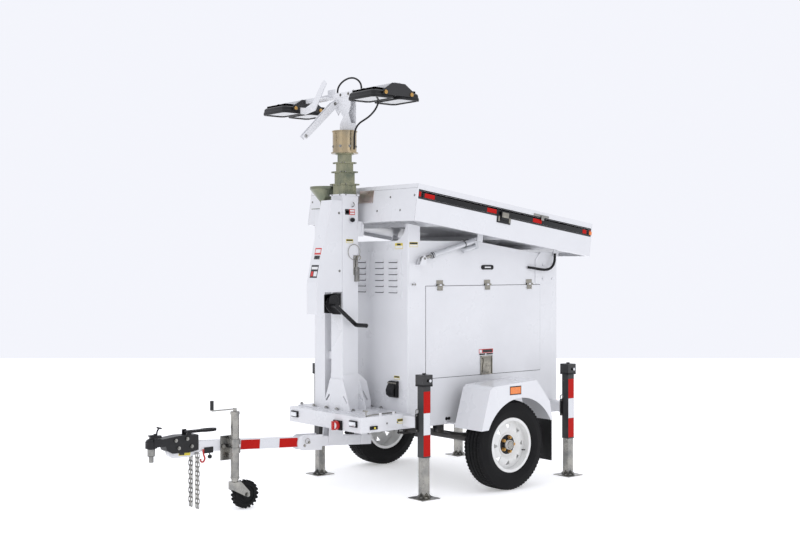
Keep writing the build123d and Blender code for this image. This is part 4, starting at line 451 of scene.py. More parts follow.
def bolt_tree(material):
    """Hexagon heads on round washers, one at each point, facing the way the point says."""
    tree, way_in, way_out = grown(
        "bolts_" + material.name,
        (("Head radius", "Float"), ("Head height", "Float"), ("Washer radius", "Float")),
    )
    half = add_node(tree, "ShaderNodeMath", {0: way_in.outputs["Head height"], 1: 0.5}, operation="MULTIPLY")
    rise = add_node(tree, "ShaderNodeCombineXYZ", {"Z": half.outputs[0]})
    head = add_node(
        tree, "GeometryNodeMeshCylinder",
        {"Vertices": 6, "Radius": way_in.outputs["Head radius"], "Depth": way_in.outputs["Head height"]},
    )
    head_up = add_node(
        tree, "GeometryNodeTransform", {"Geometry": head.outputs[0], "Translation": rise.outputs[0]}
    )
    tip = add_node(tree, "ShaderNodeMath", {0: way_in.outputs["Head radius"], 1: 0.5}, operation="MULTIPLY")
    stud = add_node(
        tree, "GeometryNodeMeshCylinder",
        {"Vertices": 10, "Radius": tip.outputs[0], "Depth": way_in.outputs["Head height"]},
    )
    stud_rise = add_node(tree, "ShaderNodeCombineXYZ", {"Z": way_in.outputs["Head height"]})
    stud_up = add_node(
        tree, "GeometryNodeTransform",
        {"Geometry": stud.outputs[0], "Translation": stud_rise.outputs[0], "Scale": (1, 1, 0.5)},
    )
    thin = add_node(tree, "ShaderNodeMath", {0: way_in.outputs["Head height"], 1: 0.3}, operation="MULTIPLY")
    washer = add_node(
        tree, "GeometryNodeMeshCylinder",
        {"Vertices": 18, "Radius": way_in.outputs["Washer radius"], "Depth": thin.outputs[0]},
    )
    whole = add_node(tree, "GeometryNodeJoinGeometry")
    for part in (head_up, stud_up, washer):
        tree.links.new(part.outputs[0], whole.inputs[0])
    facing = add_node(tree, "GeometryNodeInputNamedAttribute", {"Name": "facing"}, data_type="FLOAT_VECTOR")
    turn = add_node(
        tree, "FunctionNodeAlignRotationToVector", {"Vector": facing.outputs["Attribute"]}, axis="Z"
    )
    spread = add_node(
        tree,
        "GeometryNodeInstanceOnPoints",
        {"Points": way_in.outputs["Geometry"], "Instance": whole.outputs[0], "Rotation": turn.outputs[0]},
    )
    close_tree(tree, way_out, spread.outputs[0], material)
    return tree


zinc_bolts = bolt_tree(zinc_plate)
black_bolts = bolt_tree(black_plastic)


def bolts(name, places, body, tree=zinc_bolts, head=0.009, height=0.007, washer=0.013):
    """A set of bolts: places pairs each point with the way its head faces."""
    seed = bpy.data.meshes.new(name)
    seed.from_pydata([point for point, _ in places], [], [])
    facing = seed.attributes.new("facing", "FLOAT_VECTOR", "POINT")
    for item, (_, way) in zip(facing.data, places):
        item.vector = way
    return grow(
        name, seed, tree, {"Head radius": head, "Head height": height, "Washer radius": washer}, body
    )


SIDE_NAME = {1: "left", -1: "right"}
UP, FRONT, REAR, LEFT, RIGHT = (0, 0, 1), (0, -1, 0), (0, 1, 0), (1, 0, 0), (-1, 0, 0)
BASE_TOP = 0.615
base_places = ((-0.437, -0.293), (-0.272, -0.293), (-0.111, -0.293), (0.025, -0.293), (0.180, -0.250),
               (0.180, 0.015), (0.040, 0.022), (-0.140, 0.022), (-0.300, 0.022), (-0.437, 0.015))
bolts(
    "mast_foot_bolts", [((x, y, BASE_TOP + 0.0095), UP) for x, y in base_places], "chassis", head=0.0105,
    height=0.009, washer=0.017,
)
guard_bolts = []
for side in (1, -1):
    way = LEFT if side == 1 else RIGHT
    guard_bolts += [((side * 0.4655, y, z), way) for y in (0.432, 0.458, 1.132, 1.158) for z in (0.535,)]
bolts("guard_bracket_bolts", guard_bolts, "chassis", tree=black_bolts)


def block(mesh, low, high):
    """A box between two corners, added to a mesh."""
    corners = [
        mesh.verts.new((x, y, z))
        for z in (low[2], high[2])
        for y in (low[1], high[1])
        for x in (low[0], high[0])
    ]
    for face in ((0, 2, 3, 1), (4, 5, 7, 6), (0, 1, 5, 4), (2, 6, 7, 3), (0, 4, 6, 2), (1, 3, 7, 5)):
        mesh.faces.new([corners[i] for i in face])
    return corners


def side_block(mesh, sign, across, along, rise):
    """A block on the trailer's left (sign 1) or right (sign -1), from how far out, along and up it reaches."""
    near, far = sorted(sign * reach for reach in across)
    return block(mesh, (near, along[0], rise[0]), (far, along[1], rise[1]))


def turned(mesh, profile, centre, along, segments=40):
    """A turned shape: (radius, height) pairs spun about a line through centre. A zero radius closes an end."""
    centre, along = Vector(centre), Vector(along).normalized()
    start = Vector((0, 0, 1)) if abs(along.z) < 0.9 else Vector((1, 0, 0))
    right = (start - along * start.dot(along)).normalized()
    across = along.cross(right)
    rings = []
    for radius, height in profile:
        middle = centre + along * height
        if radius == 0:
            rings.append([mesh.verts.new(middle)])
            continue
        rings.append([
            mesh.verts.new(middle + (right * math.cos(a) + across * math.sin(a)) * radius)
            for a in (2 * math.pi * step / segments for step in range(segments))
        ])
    for low, high in zip(rings, rings[1:]):
        for step in range(segments):
            other = (step + 1) % segments
            if len(low) == 1 and len(high) == 1:
                break
            if len(low) == 1:
                mesh.faces.new((low[0], high[other], high[step]))
            elif len(high) == 1:
                mesh.faces.new((low[step], low[other], high[0]))
            else:
                mesh.faces.new((low[step], low[other], high[other], high[step]))


def bent_wire(mesh, points, radius, sides=8):
    """A round wire along points, its corners eased."""
    eased = [Vector(point) for point in points]
    for _ in range(2):
        eased = [eased[0]] + [
            p for a, b in zip(eased, eased[1:]) for p in (a.lerp(b, 0.25), a.lerp(b, 0.75))
        ] + [eased[-1]]
    sweep_ring(mesh, eased, [radius] * len(eased), sides)


# ---- Wheels ----
# Road tyres with a ribbed, siped tread and a raised shoulder, on white eight-spoke steel rims. Brass
# lug nuts stand on a black hub face round a grey grease cap, and each rim has a rubber valve.
AXLE_Y, AXLE_Z, TRACK = 0.760, 0.344, 0.759
TYRE_OUTLINE = (
    (0.1915, -0.078), (0.2095, -0.079), (0.212, -0.086), (0.222, -0.093), (0.242, -0.0995), (0.262, -0.1018),
    (0.266, -0.1026), (0.270, -0.1018), (0.290, -0.099), (0.308, -0.0945), (0.318, -0.0915),
    (0.3205, -0.0925), (0.3235, -0.0905), (0.330, -0.084), (0.3365, -0.075), (0.3385, -0.066),
    (0.3385, -0.058), (0.334, -0.056), (0.334, -0.051), (0.3400, -0.049), (0.3405, -0.023), (0.335, -0.021),
    (0.335, -0.015), (0.3410, -0.013), (0.3410, 0.0),
)


def row_tree(name, material):
    """Blocks round a circle, each turned to face out from it, for treads and lugs."""
    tree, way_in, way_out = grown(
        name,
        (
            ("Count", "Int"), ("Ring radius", "Float"), ("Block", "Vector"), ("Slant", "Float"),
            ("Offset", "Float"),
        ),
    )
    ring = add_node(
        tree, "GeometryNodeMeshCircle",
        {"Vertices": way_in.outputs["Count"], "Radius": way_in.outputs["Ring radius"]},
    )
    face_out = add_node(tree, "GeometryNodeInputPosition")
    turn = add_node(tree, "FunctionNodeAlignRotationToVector", {"Vector": face_out.outputs[0]}, axis="X")
    lean = add_node(tree, "ShaderNodeCombineXYZ", {"X": way_in.outputs["Slant"]})
    lean_turn = add_node(tree, "FunctionNodeEulerToRotation", {0: lean.outputs[0]})
    both = add_node(
        tree, "FunctionNodeRotateRotation", {0: turn.outputs[0], 1: lean_turn.outputs[0]},
        rotation_space="LOCAL",
    )
    cube = add_node(tree, "GeometryNodeMeshCube", {"Size": way_in.outputs["Block"]})
    spread = add_node(
        tree,
        "GeometryNodeInstanceOnPoints",
        {"Points": ring.outputs[0], "Instance": cube.outputs[0], "Rotation": both.outputs[0]},
    )
    shift = add_node(tree, "ShaderNodeCombineXYZ", {"Z": way_in.outputs["Offset"]})
    moved = add_node(
        tree, "GeometryNodeTransform", {"Geometry": spread.outputs[0], "Translation": shift.outputs[0]}
    )
    close_tree(tree, way_out, moved.outputs[0], material)
    return tree


tread_rows = row_tree("tread_rows", rubber)
brass = finish(
    "brass_plate", (0.62, 0.38, 0.13), 0.30, metal=1.0, second=(0.45, 0.27, 0.09), patch=60, grain=500,
    grain_height=0.2,
)
coat(
    finish(
        "white_rim_enamel", (0.78, 0.78, 0.77), 0.34, second=(0.72, 0.72, 0.70), patch=6, grain=300,
        grain_height=0.1, coat=0.2,
    ),
    "rim_left", "rim_right",
)

for side, sign in (("left", 1), ("right", -1)):
    body = f"wheel_{side}"
    centre = Vector((sign * TRACK, AXLE_Y, AXLE_Z))
    axle_turn = Matrix.Translation(centre) @ Matrix.Rotation(math.pi / 2, 4, "Y")
    mesh = bmesh.new()
    outline = TYRE_OUTLINE + tuple((radius, -height) for radius, height in reversed(TYRE_OUTLINE[:-1]))
    turned(mesh, outline + (outline[0],), centre, (1, 0, 0), 112)
    bmesh.ops.remove_doubles(mesh, verts=mesh.verts, dist=0.00005)
    tyre = make_piece(f"road_tyre_{side}", mesh, rubber, body, sharp=40)
    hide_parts(f"tyre_{side}")
    for row, (offset, width, slant, count) in enumerate(
        (
            (-0.036, 0.026, 0.35, 84), (0.036, 0.026, -0.35, 84), (-0.068, 0.020, 0.1, 72),
            (0.068, 0.020, -0.1, 72), (0.0, 0.022, 0.5, 96),
        )
    ):
        seed = bpy.data.meshes.new("tread")
        radius = 0.3395 if abs(offset) < 0.05 else 0.3365
        sizes = {
            "Count": count, "Ring radius": radius, "Block": (0.008, 0.0165, width), "Slant": slant,
            "Offset": offset,
        }
        grow(f"tread_row_{side}_{row}", seed, tread_rows, sizes, body, place=axle_turn)
    # Hub face, lug nuts, grease cap and valve
    mesh = bmesh.new()
    turned(
        mesh, ((0, 0.0362), (0.074, 0.0362), (0.078, 0.034), (0.078, 0.030), (0, 0.030)), centre,
        (sign, 0, 0), 48,
    )
    make_piece(f"hub_face_{side}", mesh, black_plastic, body)
    nut_seed = [
        (centre + Vector((sign * 0.0365, 0.056 * math.cos(a), 0.056 * math.sin(a))), (sign, 0, 0))
        for a in (2 * math.pi * n / 5 for n in range(5))
    ]
    bolts(
        f"lug_nuts_{side}", [(tuple(p), w) for p, w in nut_seed], body, tree=bolt_tree(brass), head=0.0122,
        height=0.0205, washer=0.0135,
    )
    mesh = bmesh.new()
    turned(
        mesh,
        (
            (0, 0.034), (0.0375, 0.034), (0.0375, 0.050), (0.034, 0.054), (0.033, 0.072), (0.029, 0.0775),
            (0, 0.0785),
        ),
        centre, (sign, 0, 0), 40,
    )
    make_piece(f"grease_cap_{side}", mesh, zinc_plate, body)
    mesh = bmesh.new()
    valve = centre + Vector((sign * 0.056, 0.155, -0.055))
    bent_wire(
        mesh, (valve - Vector((sign * 0.03, 0, 0)), valve, valve + Vector((sign * 0.022, -0.006, 0.004))),
        0.0042,
    )
    make_piece(f"tyre_valve_{side}", mesh, rubber, body)

# ---- Outriggers and jack legs ----
# White square arms slide out of the chassis. Each carries a black jack tube with a moulded cap, and a
# plated inner leg on a square foot. Bands of red and white tape face outwards on every tube.
TAPE_LIFT = 0.0006
for end, x, y in (("front", 0.657, 0.041), ("rear", 0.667, 1.581)):
    arm_end = x - 0.034 - 0.012
    two_coats = two_zones(
        f"white_arm_black_tube_{end}", white_coat, black_coat, "X", arm_end - 0.0001, mirrored=True
    )
    for side, sign in (("left", 1), ("right", -1)):
        arm, leg = f"outrigger_{end}_{side}", f"jack_leg_{end}_{side}"
        coat(two_coats, arm)
        coat(zinc_plate, leg)
        face = sign * (x + 0.034)
        for band, (low, high, tape) in enumerate(
            ((0.312, 0.468, red_tape), (0.469, 0.629, white_tape), (0.630, 0.788, red_tape))
        ):
            mesh = bmesh.new()
            block(
                mesh, (min(face, face + sign * TAPE_LIFT), y - 0.0325, low),
                (max(face, face + sign * TAPE_LIFT), y + 0.0325, high),
            )
            make_piece(f"tape_{end}_{side}_{band}", mesh, tape, arm, bevel=0.0002, segments=1)
        mesh = bmesh.new()
        block(mesh, (sign * x - 0.0462, y - 0.0462, 0.8235), (sign * x + 0.0462, y + 0.0462, 0.8395))
        make_piece(f"cap_collar_{end}_{side}", mesh, black_plastic, arm, bevel=0.004)
        places = [
            ((sign * (arm_end + 0.0125), y + dy, z), (sign, 0, 0))
            for dy in (-0.041, 0.041)
            for z in (0.498, 0.610)
        ]
        bolts(f"flange_bolts_{end}_{side}", places, arm, head=0.0085, height=0.008, washer=0.0)
        # Bent pull handle on the flange
        mesh = bmesh.new()
        grip = Vector((sign * (arm_end - 0.012), y - 0.030, 0.6215))
        bent_wire(
            mesh,
            (
                grip, grip + Vector((0, 0, 0.026)), grip + Vector((sign * 0.034, -0.006, 0.034)),
                grip + Vector((sign * 0.040, -0.008, 0.012)), grip + Vector((sign * 0.026, -0.004, 0.004)),
            ),
            0.0045,
        )
        make_piece(f"arm_handle_{end}_{side}", mesh, zinc_plate, arm)
        mesh = bmesh.new()
        turned(
            mesh, ((0, 0), (0.011, 0), (0.011, 0.003), (0.008, 0.0055), (0, 0.006)),
            (sign * (x + 0.045), y + 0.022, 0.866), (sign, 0, 0), 24,
        )
        make_piece(f"cap_plug_{end}_{side}", mesh, white_tape, arm)
        # Cast corners where the foot's edge is turned up
        mesh = bmesh.new()
        turned(
            mesh, ((0, 0.0), (0.046, 0.0), (0.046, 0.003), (0.040, 0.007), (0, 0.007)), (sign * x, y, 0.006),
            UP, 4,
        )
        make_piece(f"foot_pad_{end}_{side}", mesh, zinc_plate, leg, bevel=0.001)

# ---- Chassis front: lights, isolator, level gauge and deck handle ----
# Clear plastic position lights on black bases, a red rotary battery isolator on a black plate, a
# bubble gauge and a plated T-handle that locks the deck's leg. Blank labels stand for printed ones.
lens_red = finish(
    "red_lens", (0.55, 0.012, 0.010), 0.12, second=(0.42, 0.008, 0.008), patch=70, grain=240,
    grain_height=0.4, coat=0.8,
)
lens_amber = finish(
    "amber_lens", (0.85, 0.22, 0.012), 0.15, second=(0.70, 0.15, 0.008), patch=70, grain=240,
    grain_height=0.4, coat=0.8,
)
lens_clear = finish(
    "clear_lens", (0.60, 0.62, 0.64), 0.08, metal=0.5, second=(0.82, 0.84, 0.86), patch=90, grain=300,
    grain_height=0.6, coat=0.8,
)
signal_red = finish(
    "red_handle_plastic", (0.52, 0.016, 0.013), 0.34, second=(0.44, 0.012, 0.010), patch=30, grain=700,
    grain_height=0.3,
)
label_white = finish(
    "label_white", (0.76, 0.76, 0.76), 0.4, second=(0.70, 0.70, 0.71), patch=60, grain=900, grain_height=0.15
)
label_yellow = finish(
    "label_yellow", (0.72, 0.60, 0.06), 0.4, second=(0.64, 0.50, 0.04), patch=60, grain=900, grain_height=0.15
)
label_red = finish(
    "label_red", (0.60, 0.028, 0.022), 0.4, second=(0.52, 0.02, 0.018), patch=60, grain=900, grain_height=0.15
)
label_black = finish("label_black", (0.016, 0.016, 0.017), 0.4, patch=60, grain=900, grain_height=0.15)
LABEL_LIFT = 0.0005


def patch_on(mesh, face, u, v, lift=LABEL_LIFT):
    """A thin rectangle standing on a flat wall: face is ('X' or 'Y', place, way out)."""
    axis, place, way = face
    near, far = sorted((place, place + way * lift))
    if axis == "X":
        return block(mesh, (near, u[0], v[0]), (far, u[1], v[1]))
    return block(mesh, (u[0], near, v[0]), (u[1], far, v[1]))


def label(name, face, u, v, body, colour, bands=()):
    """A blank label: a coloured sheet, with plain bands on it where the real one is printed."""
    mesh = bmesh.new()
    patch_on(mesh, face, u, v)
    make_piece(name, mesh, colour, body)
    for number, (band_colour, left, right, low, high) in enumerate(bands):
        mesh = bmesh.new()
        span = (u[0] + (u[1] - u[0]) * left, u[0] + (u[1] - u[0]) * right)
        rise = (v[0] + (v[1] - v[0]) * low, v[0] + (v[1] - v[0]) * high)
        patch_on(mesh, face, span, rise, lift=LABEL_LIFT * 1.8)
        make_piece(f"{name}_band_{number}", mesh, band_colour, body)


DECK_FRONT, DECK_SIDE, DECK_REAR = -0.394, 0.459, 1.666
mesh = bmesh.new()
for side in (1, -1):
    block(
        mesh, (side * 0.378 - 0.044, DECK_FRONT - 0.012, 0.533),
        (side * 0.378 + 0.044, DECK_FRONT - 0.0002, 0.579),
    )
    for x, z in ((side * 0.872, 0.760),):
        block(
            mesh, (min(x, x + side * 0.0013), 0.712, z - 0.031), (max(x, x + side * 0.0013), 0.834, z + 0.035)
        )
lens_base = make_piece("light_bases", mesh, black_plastic, "chassis", bevel=0.003)
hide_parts("electrical_fittings")
for side in (1, -1):
    mesh = bmesh.new()
    block(
        mesh, (side * 0.378 - 0.036, DECK_FRONT - 0.0216, 0.540),
        (side * 0.378 + 0.036, DECK_FRONT - 0.010, 0.572),
    )
    make_piece(
        f"position_light_{SIDE_NAME[side]}", mesh, lens_clear, "chassis",
        bevel=0.006, segments=3,
    )
    mesh = bmesh.new()
    low = side * 0.8722 if side == 1 else side * 0.8735
    block(mesh, (low, 0.718, 0.736), (low + 0.0013, 0.828, 0.788))
    make_piece(
        f"guard_marker_{SIDE_NAME[side]}", mesh, lens_amber, "chassis",
        bevel=0.0005, segments=1,
    )
    # Tail light clusters: a red lens beside an amber one, on a black base
    mesh = bmesh.new()
    side_block(mesh, side, (0.256, 0.444), (DECK_REAR, DECK_REAR + 0.016), (0.508, 0.596))
    make_piece(
        f"tail_light_base_{SIDE_NAME[side]}", mesh, black_plastic, "chassis",
        bevel=0.004,
    )
    for name, low, high, lens in (("stop", 0.262, 0.372, lens_red), ("turn", 0.376, 0.438, lens_amber)):
        mesh = bmesh.new()
        side_block(mesh, side, (low, high), (DECK_REAR + 0.014, DECK_REAR + 0.0315), (0.515, 0.589))
        make_piece(
            f"tail_{name}_{SIDE_NAME[side]}", mesh, lens, "chassis",
            bevel=0.006, segments=3,
        )

mesh = bmesh.new()
block(mesh, (0.136, DECK_FRONT - 0.0138, 0.4925), (0.240, DECK_FRONT - 0.0002, 0.5635))
make_piece("isolator_plate", mesh, black_plastic, "chassis", bevel=0.003)
coat(signal_red, "isolator_knob")
mesh = bmesh.new()
turned(
    mesh, ((0, 0.0), (0.026, 0.0), (0.026, 0.003), (0.022, 0.0055), (0, 0.0055)), (0.188, -0.4322, 0.528),
    FRONT, 36,
)
make_piece("isolator_dial", mesh, label_white, "isolator_knob")

mesh = bmesh.new()
block(mesh, (DECK_SIDE, -0.310, 0.512), (DECK_SIDE + 0.009, -0.242, 0.538))
turned(
    mesh, ((0, 0.0), (0.012, 0.0), (0.012, 0.008), (0.010, 0.010), (0, 0.010)),
    (DECK_SIDE + 0.009, -0.277, 0.525), LEFT, 28,
)
make_piece("level_gauge", mesh, black_plastic, "chassis", bevel=0.001)
mesh = bmesh.new()
turned(
    mesh, ((0, 0.0), (0.0085, 0.0), (0.0085, 0.001), (0.007, 0.002), (0, 0.0022)),
    (DECK_SIDE + 0.019, -0.277, 0.525), LEFT, 28,
)
make_piece("level_bubble", mesh, label_yellow, "chassis")

mesh = bmesh.new()
bent_wire(mesh, ((0.452, -0.340, 0.6125), (0.452, -0.290, 0.6205), (0.452, -0.060, 0.6215)), 0.0055, 12)
bent_wire(mesh, ((0.452, -0.340, 0.6205), (0.452, -0.340, 0.650)), 0.0055, 12)
bent_wire(mesh, ((0.420, -0.340, 0.650), (0.470, -0.340, 0.650)), 0.0065, 12)
make_piece("deck_t_handle", mesh, zinc_plate, "chassis")
mesh = bmesh.new()
for y in (-0.210, -0.085):
    block(mesh, (0.436, y - 0.012, 0.6072), (0.4585, y + 0.012, 0.630))
make_piece("handle_guides", mesh, white_coat, "chassis", bevel=0.002)
label(
    "deck_label", ("X", DECK_SIDE, 1), (-0.053, 0.014), (0.536, 0.571), "chassis", label_yellow,
    ((label_black, 0.08, 0.92, 0.55, 0.9), (label_white, 0.08, 0.92, 0.1, 0.4)),
)
mesh = bmesh.new()
for side in (1, -1):
    for y in (-0.15, -0.05):
        turned(
            mesh, ((0, 0), (0.007, 0), (0.007, 0.003), (0.005, 0.005), (0, 0.005)),
            (side * DECK_SIDE, y, 0.548), (side, 0, 0), 20,
        )
make_piece("deck_rivets", mesh, zinc_plate, "chassis")

# ---- Charging inlet ----
# A weatherproof inlet on the cabinet's front: a black body with a sprung, hooded lid and a hinge
# pin, on four screws, with blank labels above it.
CABINET_FACE = 0.054
mesh = bmesh.new()
outline = ((0.0, 0.712), (0.0, 0.836), (-0.024, 0.836), (-0.034, 0.826), (-0.034, 0.722), (-0.024, 0.712))
for low, high, shape in (
    (0.256, 0.349, outline),
    (
        0.262, 0.343,
        (
            (-0.030, 0.800), (-0.036, 0.818), (-0.050, 0.796), (-0.060, 0.770), (-0.056, 0.735),
            (-0.046, 0.724), (-0.040, 0.730), (-0.044, 0.760), (-0.040, 0.780),
        ),
    ),
):
    near = [mesh.verts.new((low, CABINET_FACE + y, z)) for y, z in shape]
    far = [mesh.verts.new((high, CABINET_FACE + y, z)) for y, z in shape]
    mesh.faces.new(near)
    mesh.faces.new(list(reversed(far)))
    for i in range(len(shape)):
        j = (i + 1) % len(shape)
        mesh.faces.new((near[j], near[i], far[i], far[j]))
make_piece("charging_inlet", mesh, black_plastic, "chassis", bevel=0.003)
mesh = bmesh.new()
turned(
    mesh, ((0, 0.0), (0.0052, 0.0), (0.0052, 0.095), (0, 0.095)), (0.255, CABINET_FACE - 0.034, 0.822), LEFT,
    16,
)
turned(
    mesh, ((0, 0.0), (0.024, 0.0), (0.026, 0.003), (0.026, 0.006), (0, 0.006)),
    (0.3025, CABINET_FACE - 0.033, 0.752), FRONT, 28,
)
make_piece("inlet_hinge_pin", mesh, stainless, "chassis")
bolts(
    "inlet_screws", [((x, CABINET_FACE - 0.0242, z), FRONT) for x in (0.262, 0.343) for z in (0.716, 0.832)],
    "chassis", head=0.004, height=0.003, washer=0.0055,
)
label(
    "inlet_label", ("Y", CABINET_FACE, -1), (0.292, 0.358), (0.848, 0.876), "chassis", label_yellow,
    ((label_black, 0.05, 0.95, 0.55, 0.92), (label_white, 0.05, 0.95, 0.08, 0.42)),
)
label(
    "front_top_label", ("Y", CABINET_FACE, -1), (0.304, 0.395), (1.8375, 1.882), "chassis", label_yellow,
    ((label_white, 0.04, 0.96, 0.08, 0.55), (label_black, 0.25, 0.75, 0.62, 0.92)),
)

# ---- Cabinet shell, vents and doors ----
# Folded sheet housing in the same white coat. Louvred vents are screwed to its front, and each side
# has a top-hung door on three stainless hinges, with a stainless paddle latch in a dish.
coat(white_coat, "cabinet_shell", "cabinet_fittings", "door_left", "door_right")
CABINET_SIDE = 0.459
for side, sign in (("left", 1), ("right", -1)):
    place = sign * (CABINET_SIDE + 0.006)
    # Hinge leaves in stainless, with their screws
    mesh = bmesh.new()
    for y in (0.330, 0.830, 1.300):
        side_block(mesh, sign, (0.4681, 0.4689), (y + 0.007, y + 0.063), (1.5205, 1.5545))
    make_piece(f"hinge_leaves_{side}", mesh, stainless, f"door_{side}")
    bolts(
        f"hinge_screws_{side}",
        [
            ((sign * 0.4690, y + dy, 1.531), (sign, 0, 0))
            for y in (0.330, 0.830, 1.300)
            for dy in (0.018, 0.052)
        ],
        f"door_{side}", head=0.004, height=0.0015, washer=0.0055,
    )
    mesh = bmesh.new()
    for y in (0.330, 0.830, 1.300):
        turned(mesh, ((0, 0), (0.0073, 0), (0.0073, 0.0235), (0, 0.0235)), (sign * 0.470, y, 1.563), REAR, 18)
        turned(
            mesh, ((0, 0), (0.0073, 0), (0.0073, 0.0235), (0, 0.0235)), (sign * 0.470, y + 0.0465, 1.563),
            REAR, 18,
        )
        side_block(mesh, sign, (0.4621, 0.4627), (y + 0.001, y + 0.069), (1.5705, 1.5995))
    make_piece(f"hinge_barrels_{side}", mesh, stainless, "chassis")
    # Rubber seal round the door opening, seen as a dark line
    mesh = bmesh.new()
    for low, high in (
        ((0.2235, 0.8495), (1.4705, 0.8525)), ((0.2235, 1.5565), (1.4705, 1.5585)),
        ((0.2235, 0.8495), (0.2263, 1.5585)), ((1.4677, 0.8495), (1.4705, 1.5585)),
    ):
        side_block(mesh, sign, (0.452, 0.4582), (low[0], high[0]), (low[1], high[1]))
    make_piece(f"door_seal_{side}", mesh, rubber, "chassis")
    # Latch: dished plate on the door, paddle with a bowed edge, and a key barrel
    mesh = bmesh.new()
    rim = ((0.7935, 0.8545), (0.9145, 0.8545), (0.9145, 0.9955), (0.7935, 0.9955))
    for (y0, z0), (y1, z1) in ((rim[0], rim[1]), (rim[1], rim[2]), (rim[3], rim[2]), (rim[0], rim[3])):
        side_block(
            mesh, sign, (0.4648, 0.4700), (min(y0, y1) - 0.003, max(y0, y1) + 0.003),
            (min(z0, z1) - 0.003, max(z0, z1) + 0.003),
        )
    side_block(mesh, sign, (0.4651, 0.4654), (0.794, 0.914), (0.855, 0.995))
    make_piece(f"latch_dish_{side}", mesh, stainless, f"door_{side}", bevel=0.0008)
    mesh = bmesh.new()
    paddle = (
        (0.8090, 0.872), (0.8990, 0.872), (0.8990, 0.905), (0.890, 0.955), (0.890, 0.981), (0.818, 0.981),
        (0.818, 0.955), (0.8090, 0.905),
    )
    near = [mesh.verts.new((sign * 0.4660, y, z)) for y, z in paddle]
    far = [mesh.verts.new((sign * 0.4725, y, z)) for y, z in paddle]
    mesh.faces.new(near)
    mesh.faces.new(list(reversed(far)))
    for i in range(len(paddle)):
        j = (i + 1) % len(paddle)
        mesh.faces.new((near[j], near[i], far[i], far[j]))
    turned(mesh, ((0, 0), (0.0048, 0), (0.0048, 0.092), (0, 0.092)), (sign * 0.4703, 0.808, 0.9805), REAR, 16)
    turned(
        mesh, ((0, 0), (0.012, 0), (0.012, 0.002), (0.010, 0.003), (0, 0.003)), (sign * 0.4724, 0.854, 0.928),
        (sign, 0, 0), 28,
    )
    paddle_piece = make_piece(
        f"paddle_{side}", mesh, stainless, f"door_latch_{side}", bevel=0.0012
    )
    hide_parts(f"door_latch_{side}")
    label(
        f"door_label_{side}", ("X", sign * 0.4621, sign), (0.776, 0.930), (1.002, 1.052), f"door_{side}",
        label_red,
        (
            (label_white, 0.0, 1.0, 0.0, 0.36), (label_black, 0.02, 0.45, 0.08, 0.30),
            (label_black, 0.52, 0.98, 0.08, 0.30), (label_white, 0.04, 0.22, 0.45, 0.9),
            (label_black, 0.27, 0.95, 0.45, 0.9),
        ),
    )
label(
    "corner_label", ("X", CABINET_SIDE, 1), (0.066, 0.148), (1.852, 1.889), "chassis", label_yellow,
    ((label_black, 0.03, 0.97, 0.55, 0.92), (label_white, 0.03, 0.97, 0.08, 0.48)),
)
mesh = bmesh.new()
ring = []
for x, grow_by in ((0.4592, 0.0), (0.4652, 0.0), (0.4665, -0.003)):
    ring.append(
        [
            mesh.verts.new(
                (
                    x, 0.8685 + (0.0475 if math.cos(a) > 0 else -0.0475) + (0.018 + grow_by) * math.cos(a),
                    1.698 + (0.018 + grow_by) * math.sin(a),
                )
            )
            for a in (2 * math.pi * (n + 0.5) / 32 for n in range(32))
        ]
    )
for low, high in zip(ring, ring[1:]):
    for i in range(32):
        j = (i + 1) % 32
        mesh.faces.new((low[i], low[j], high[j], high[i]))
mesh.faces.new(ring[-1])
mesh.faces.new(list(reversed(ring[0])))
make_piece("side_breather", mesh, black_plastic, "chassis")
label("breather_mark", ("X", 0.4666, 1), (0.836, 0.901), (1.693, 1.703), "chassis", label_white)
for side in (1, -1):
    places = [
        ((side * (BRACKET + 0.0001), y, 1.570), (side, 0, 0)) for BRACKET in (0.4735,) for y in (0.085, 0.110)
    ]
    bolts(
        f"bracket_bolts_{SIDE_NAME[side]}", places, "chassis", head=0.008, height=0.004,
        washer=0.0,
    )
# Vent slots: painted shade, thin black sheets on the cabinet front standing for the shadow in the gaps under
# each louvre
mesh = bmesh.new()
for x in (0.006, -0.384):
    for column in (0.055, 0.222):
        for row in range(6):
            z = 1.508 + row * 0.046
            block(
                mesh, (x + column + 0.002, CABINET_FACE - 0.0036, z - 0.006),
                (x + column + 0.106, CABINET_FACE - 0.0031, z + 0.004),
            )
# Painted shade: these black sheets are the shadow in the louvre gaps, not a part of the vent
make_piece("vent_slot_painted_shade", mesh, label_black, "chassis")
mesh = bmesh.new()
for x in (0.006, -0.384):
    for edge in (x + 0.0005, x + 0.3765):
        block(
            mesh, (edge - 0.0008, CABINET_FACE - 0.0034, 1.4632),
            (edge + 0.0008, CABINET_FACE - 0.0004, 1.8328),
        )
make_piece("vent_edges", mesh, white_coat, "chassis")

# ---- Mast: foot, tube, sections and their labels ----
# A square white tube on a flared, slotted foot. Four zinc-plated sections with yellow passivation
# nest in it under bolted collars. A wire ring, a spring plunger and its tether hang on its side.
coat(white_coat, "mast_tube")
coat(yellow_zinc, "mast_section_1", "mast_section_2", "mast_section_3", "mast_section_4")
MAST_SIDE = 0.073
collar_bolts = []
for half, top in ((0.081, 2.2430), (0.081, 2.3370), (0.073, 2.4320), (0.065, 2.5020)):
    z = top - 0.006
    if half == 0.081 and top < 2.3:
        z = 2.2490
    collar_bolts += [((half, -0.197 + dy, z), LEFT) for dy in (-0.05, 0.05)]
    collar_bolts += [((dx, -0.197 - half, z), FRONT) for dx in (-0.05, 0.05)]
bolts("mast_collar_bolts_fixed", collar_bolts[:4], "chassis", head=0.0055, height=0.004, washer=0.0)
for number in (1, 2, 3):
    bolts(
        f"mast_collar_bolts_{number}", collar_bolts[4 * number:4 * number + 4], f"mast_{number}", head=0.0055,
        height=0.004, washer=0.0,
    )
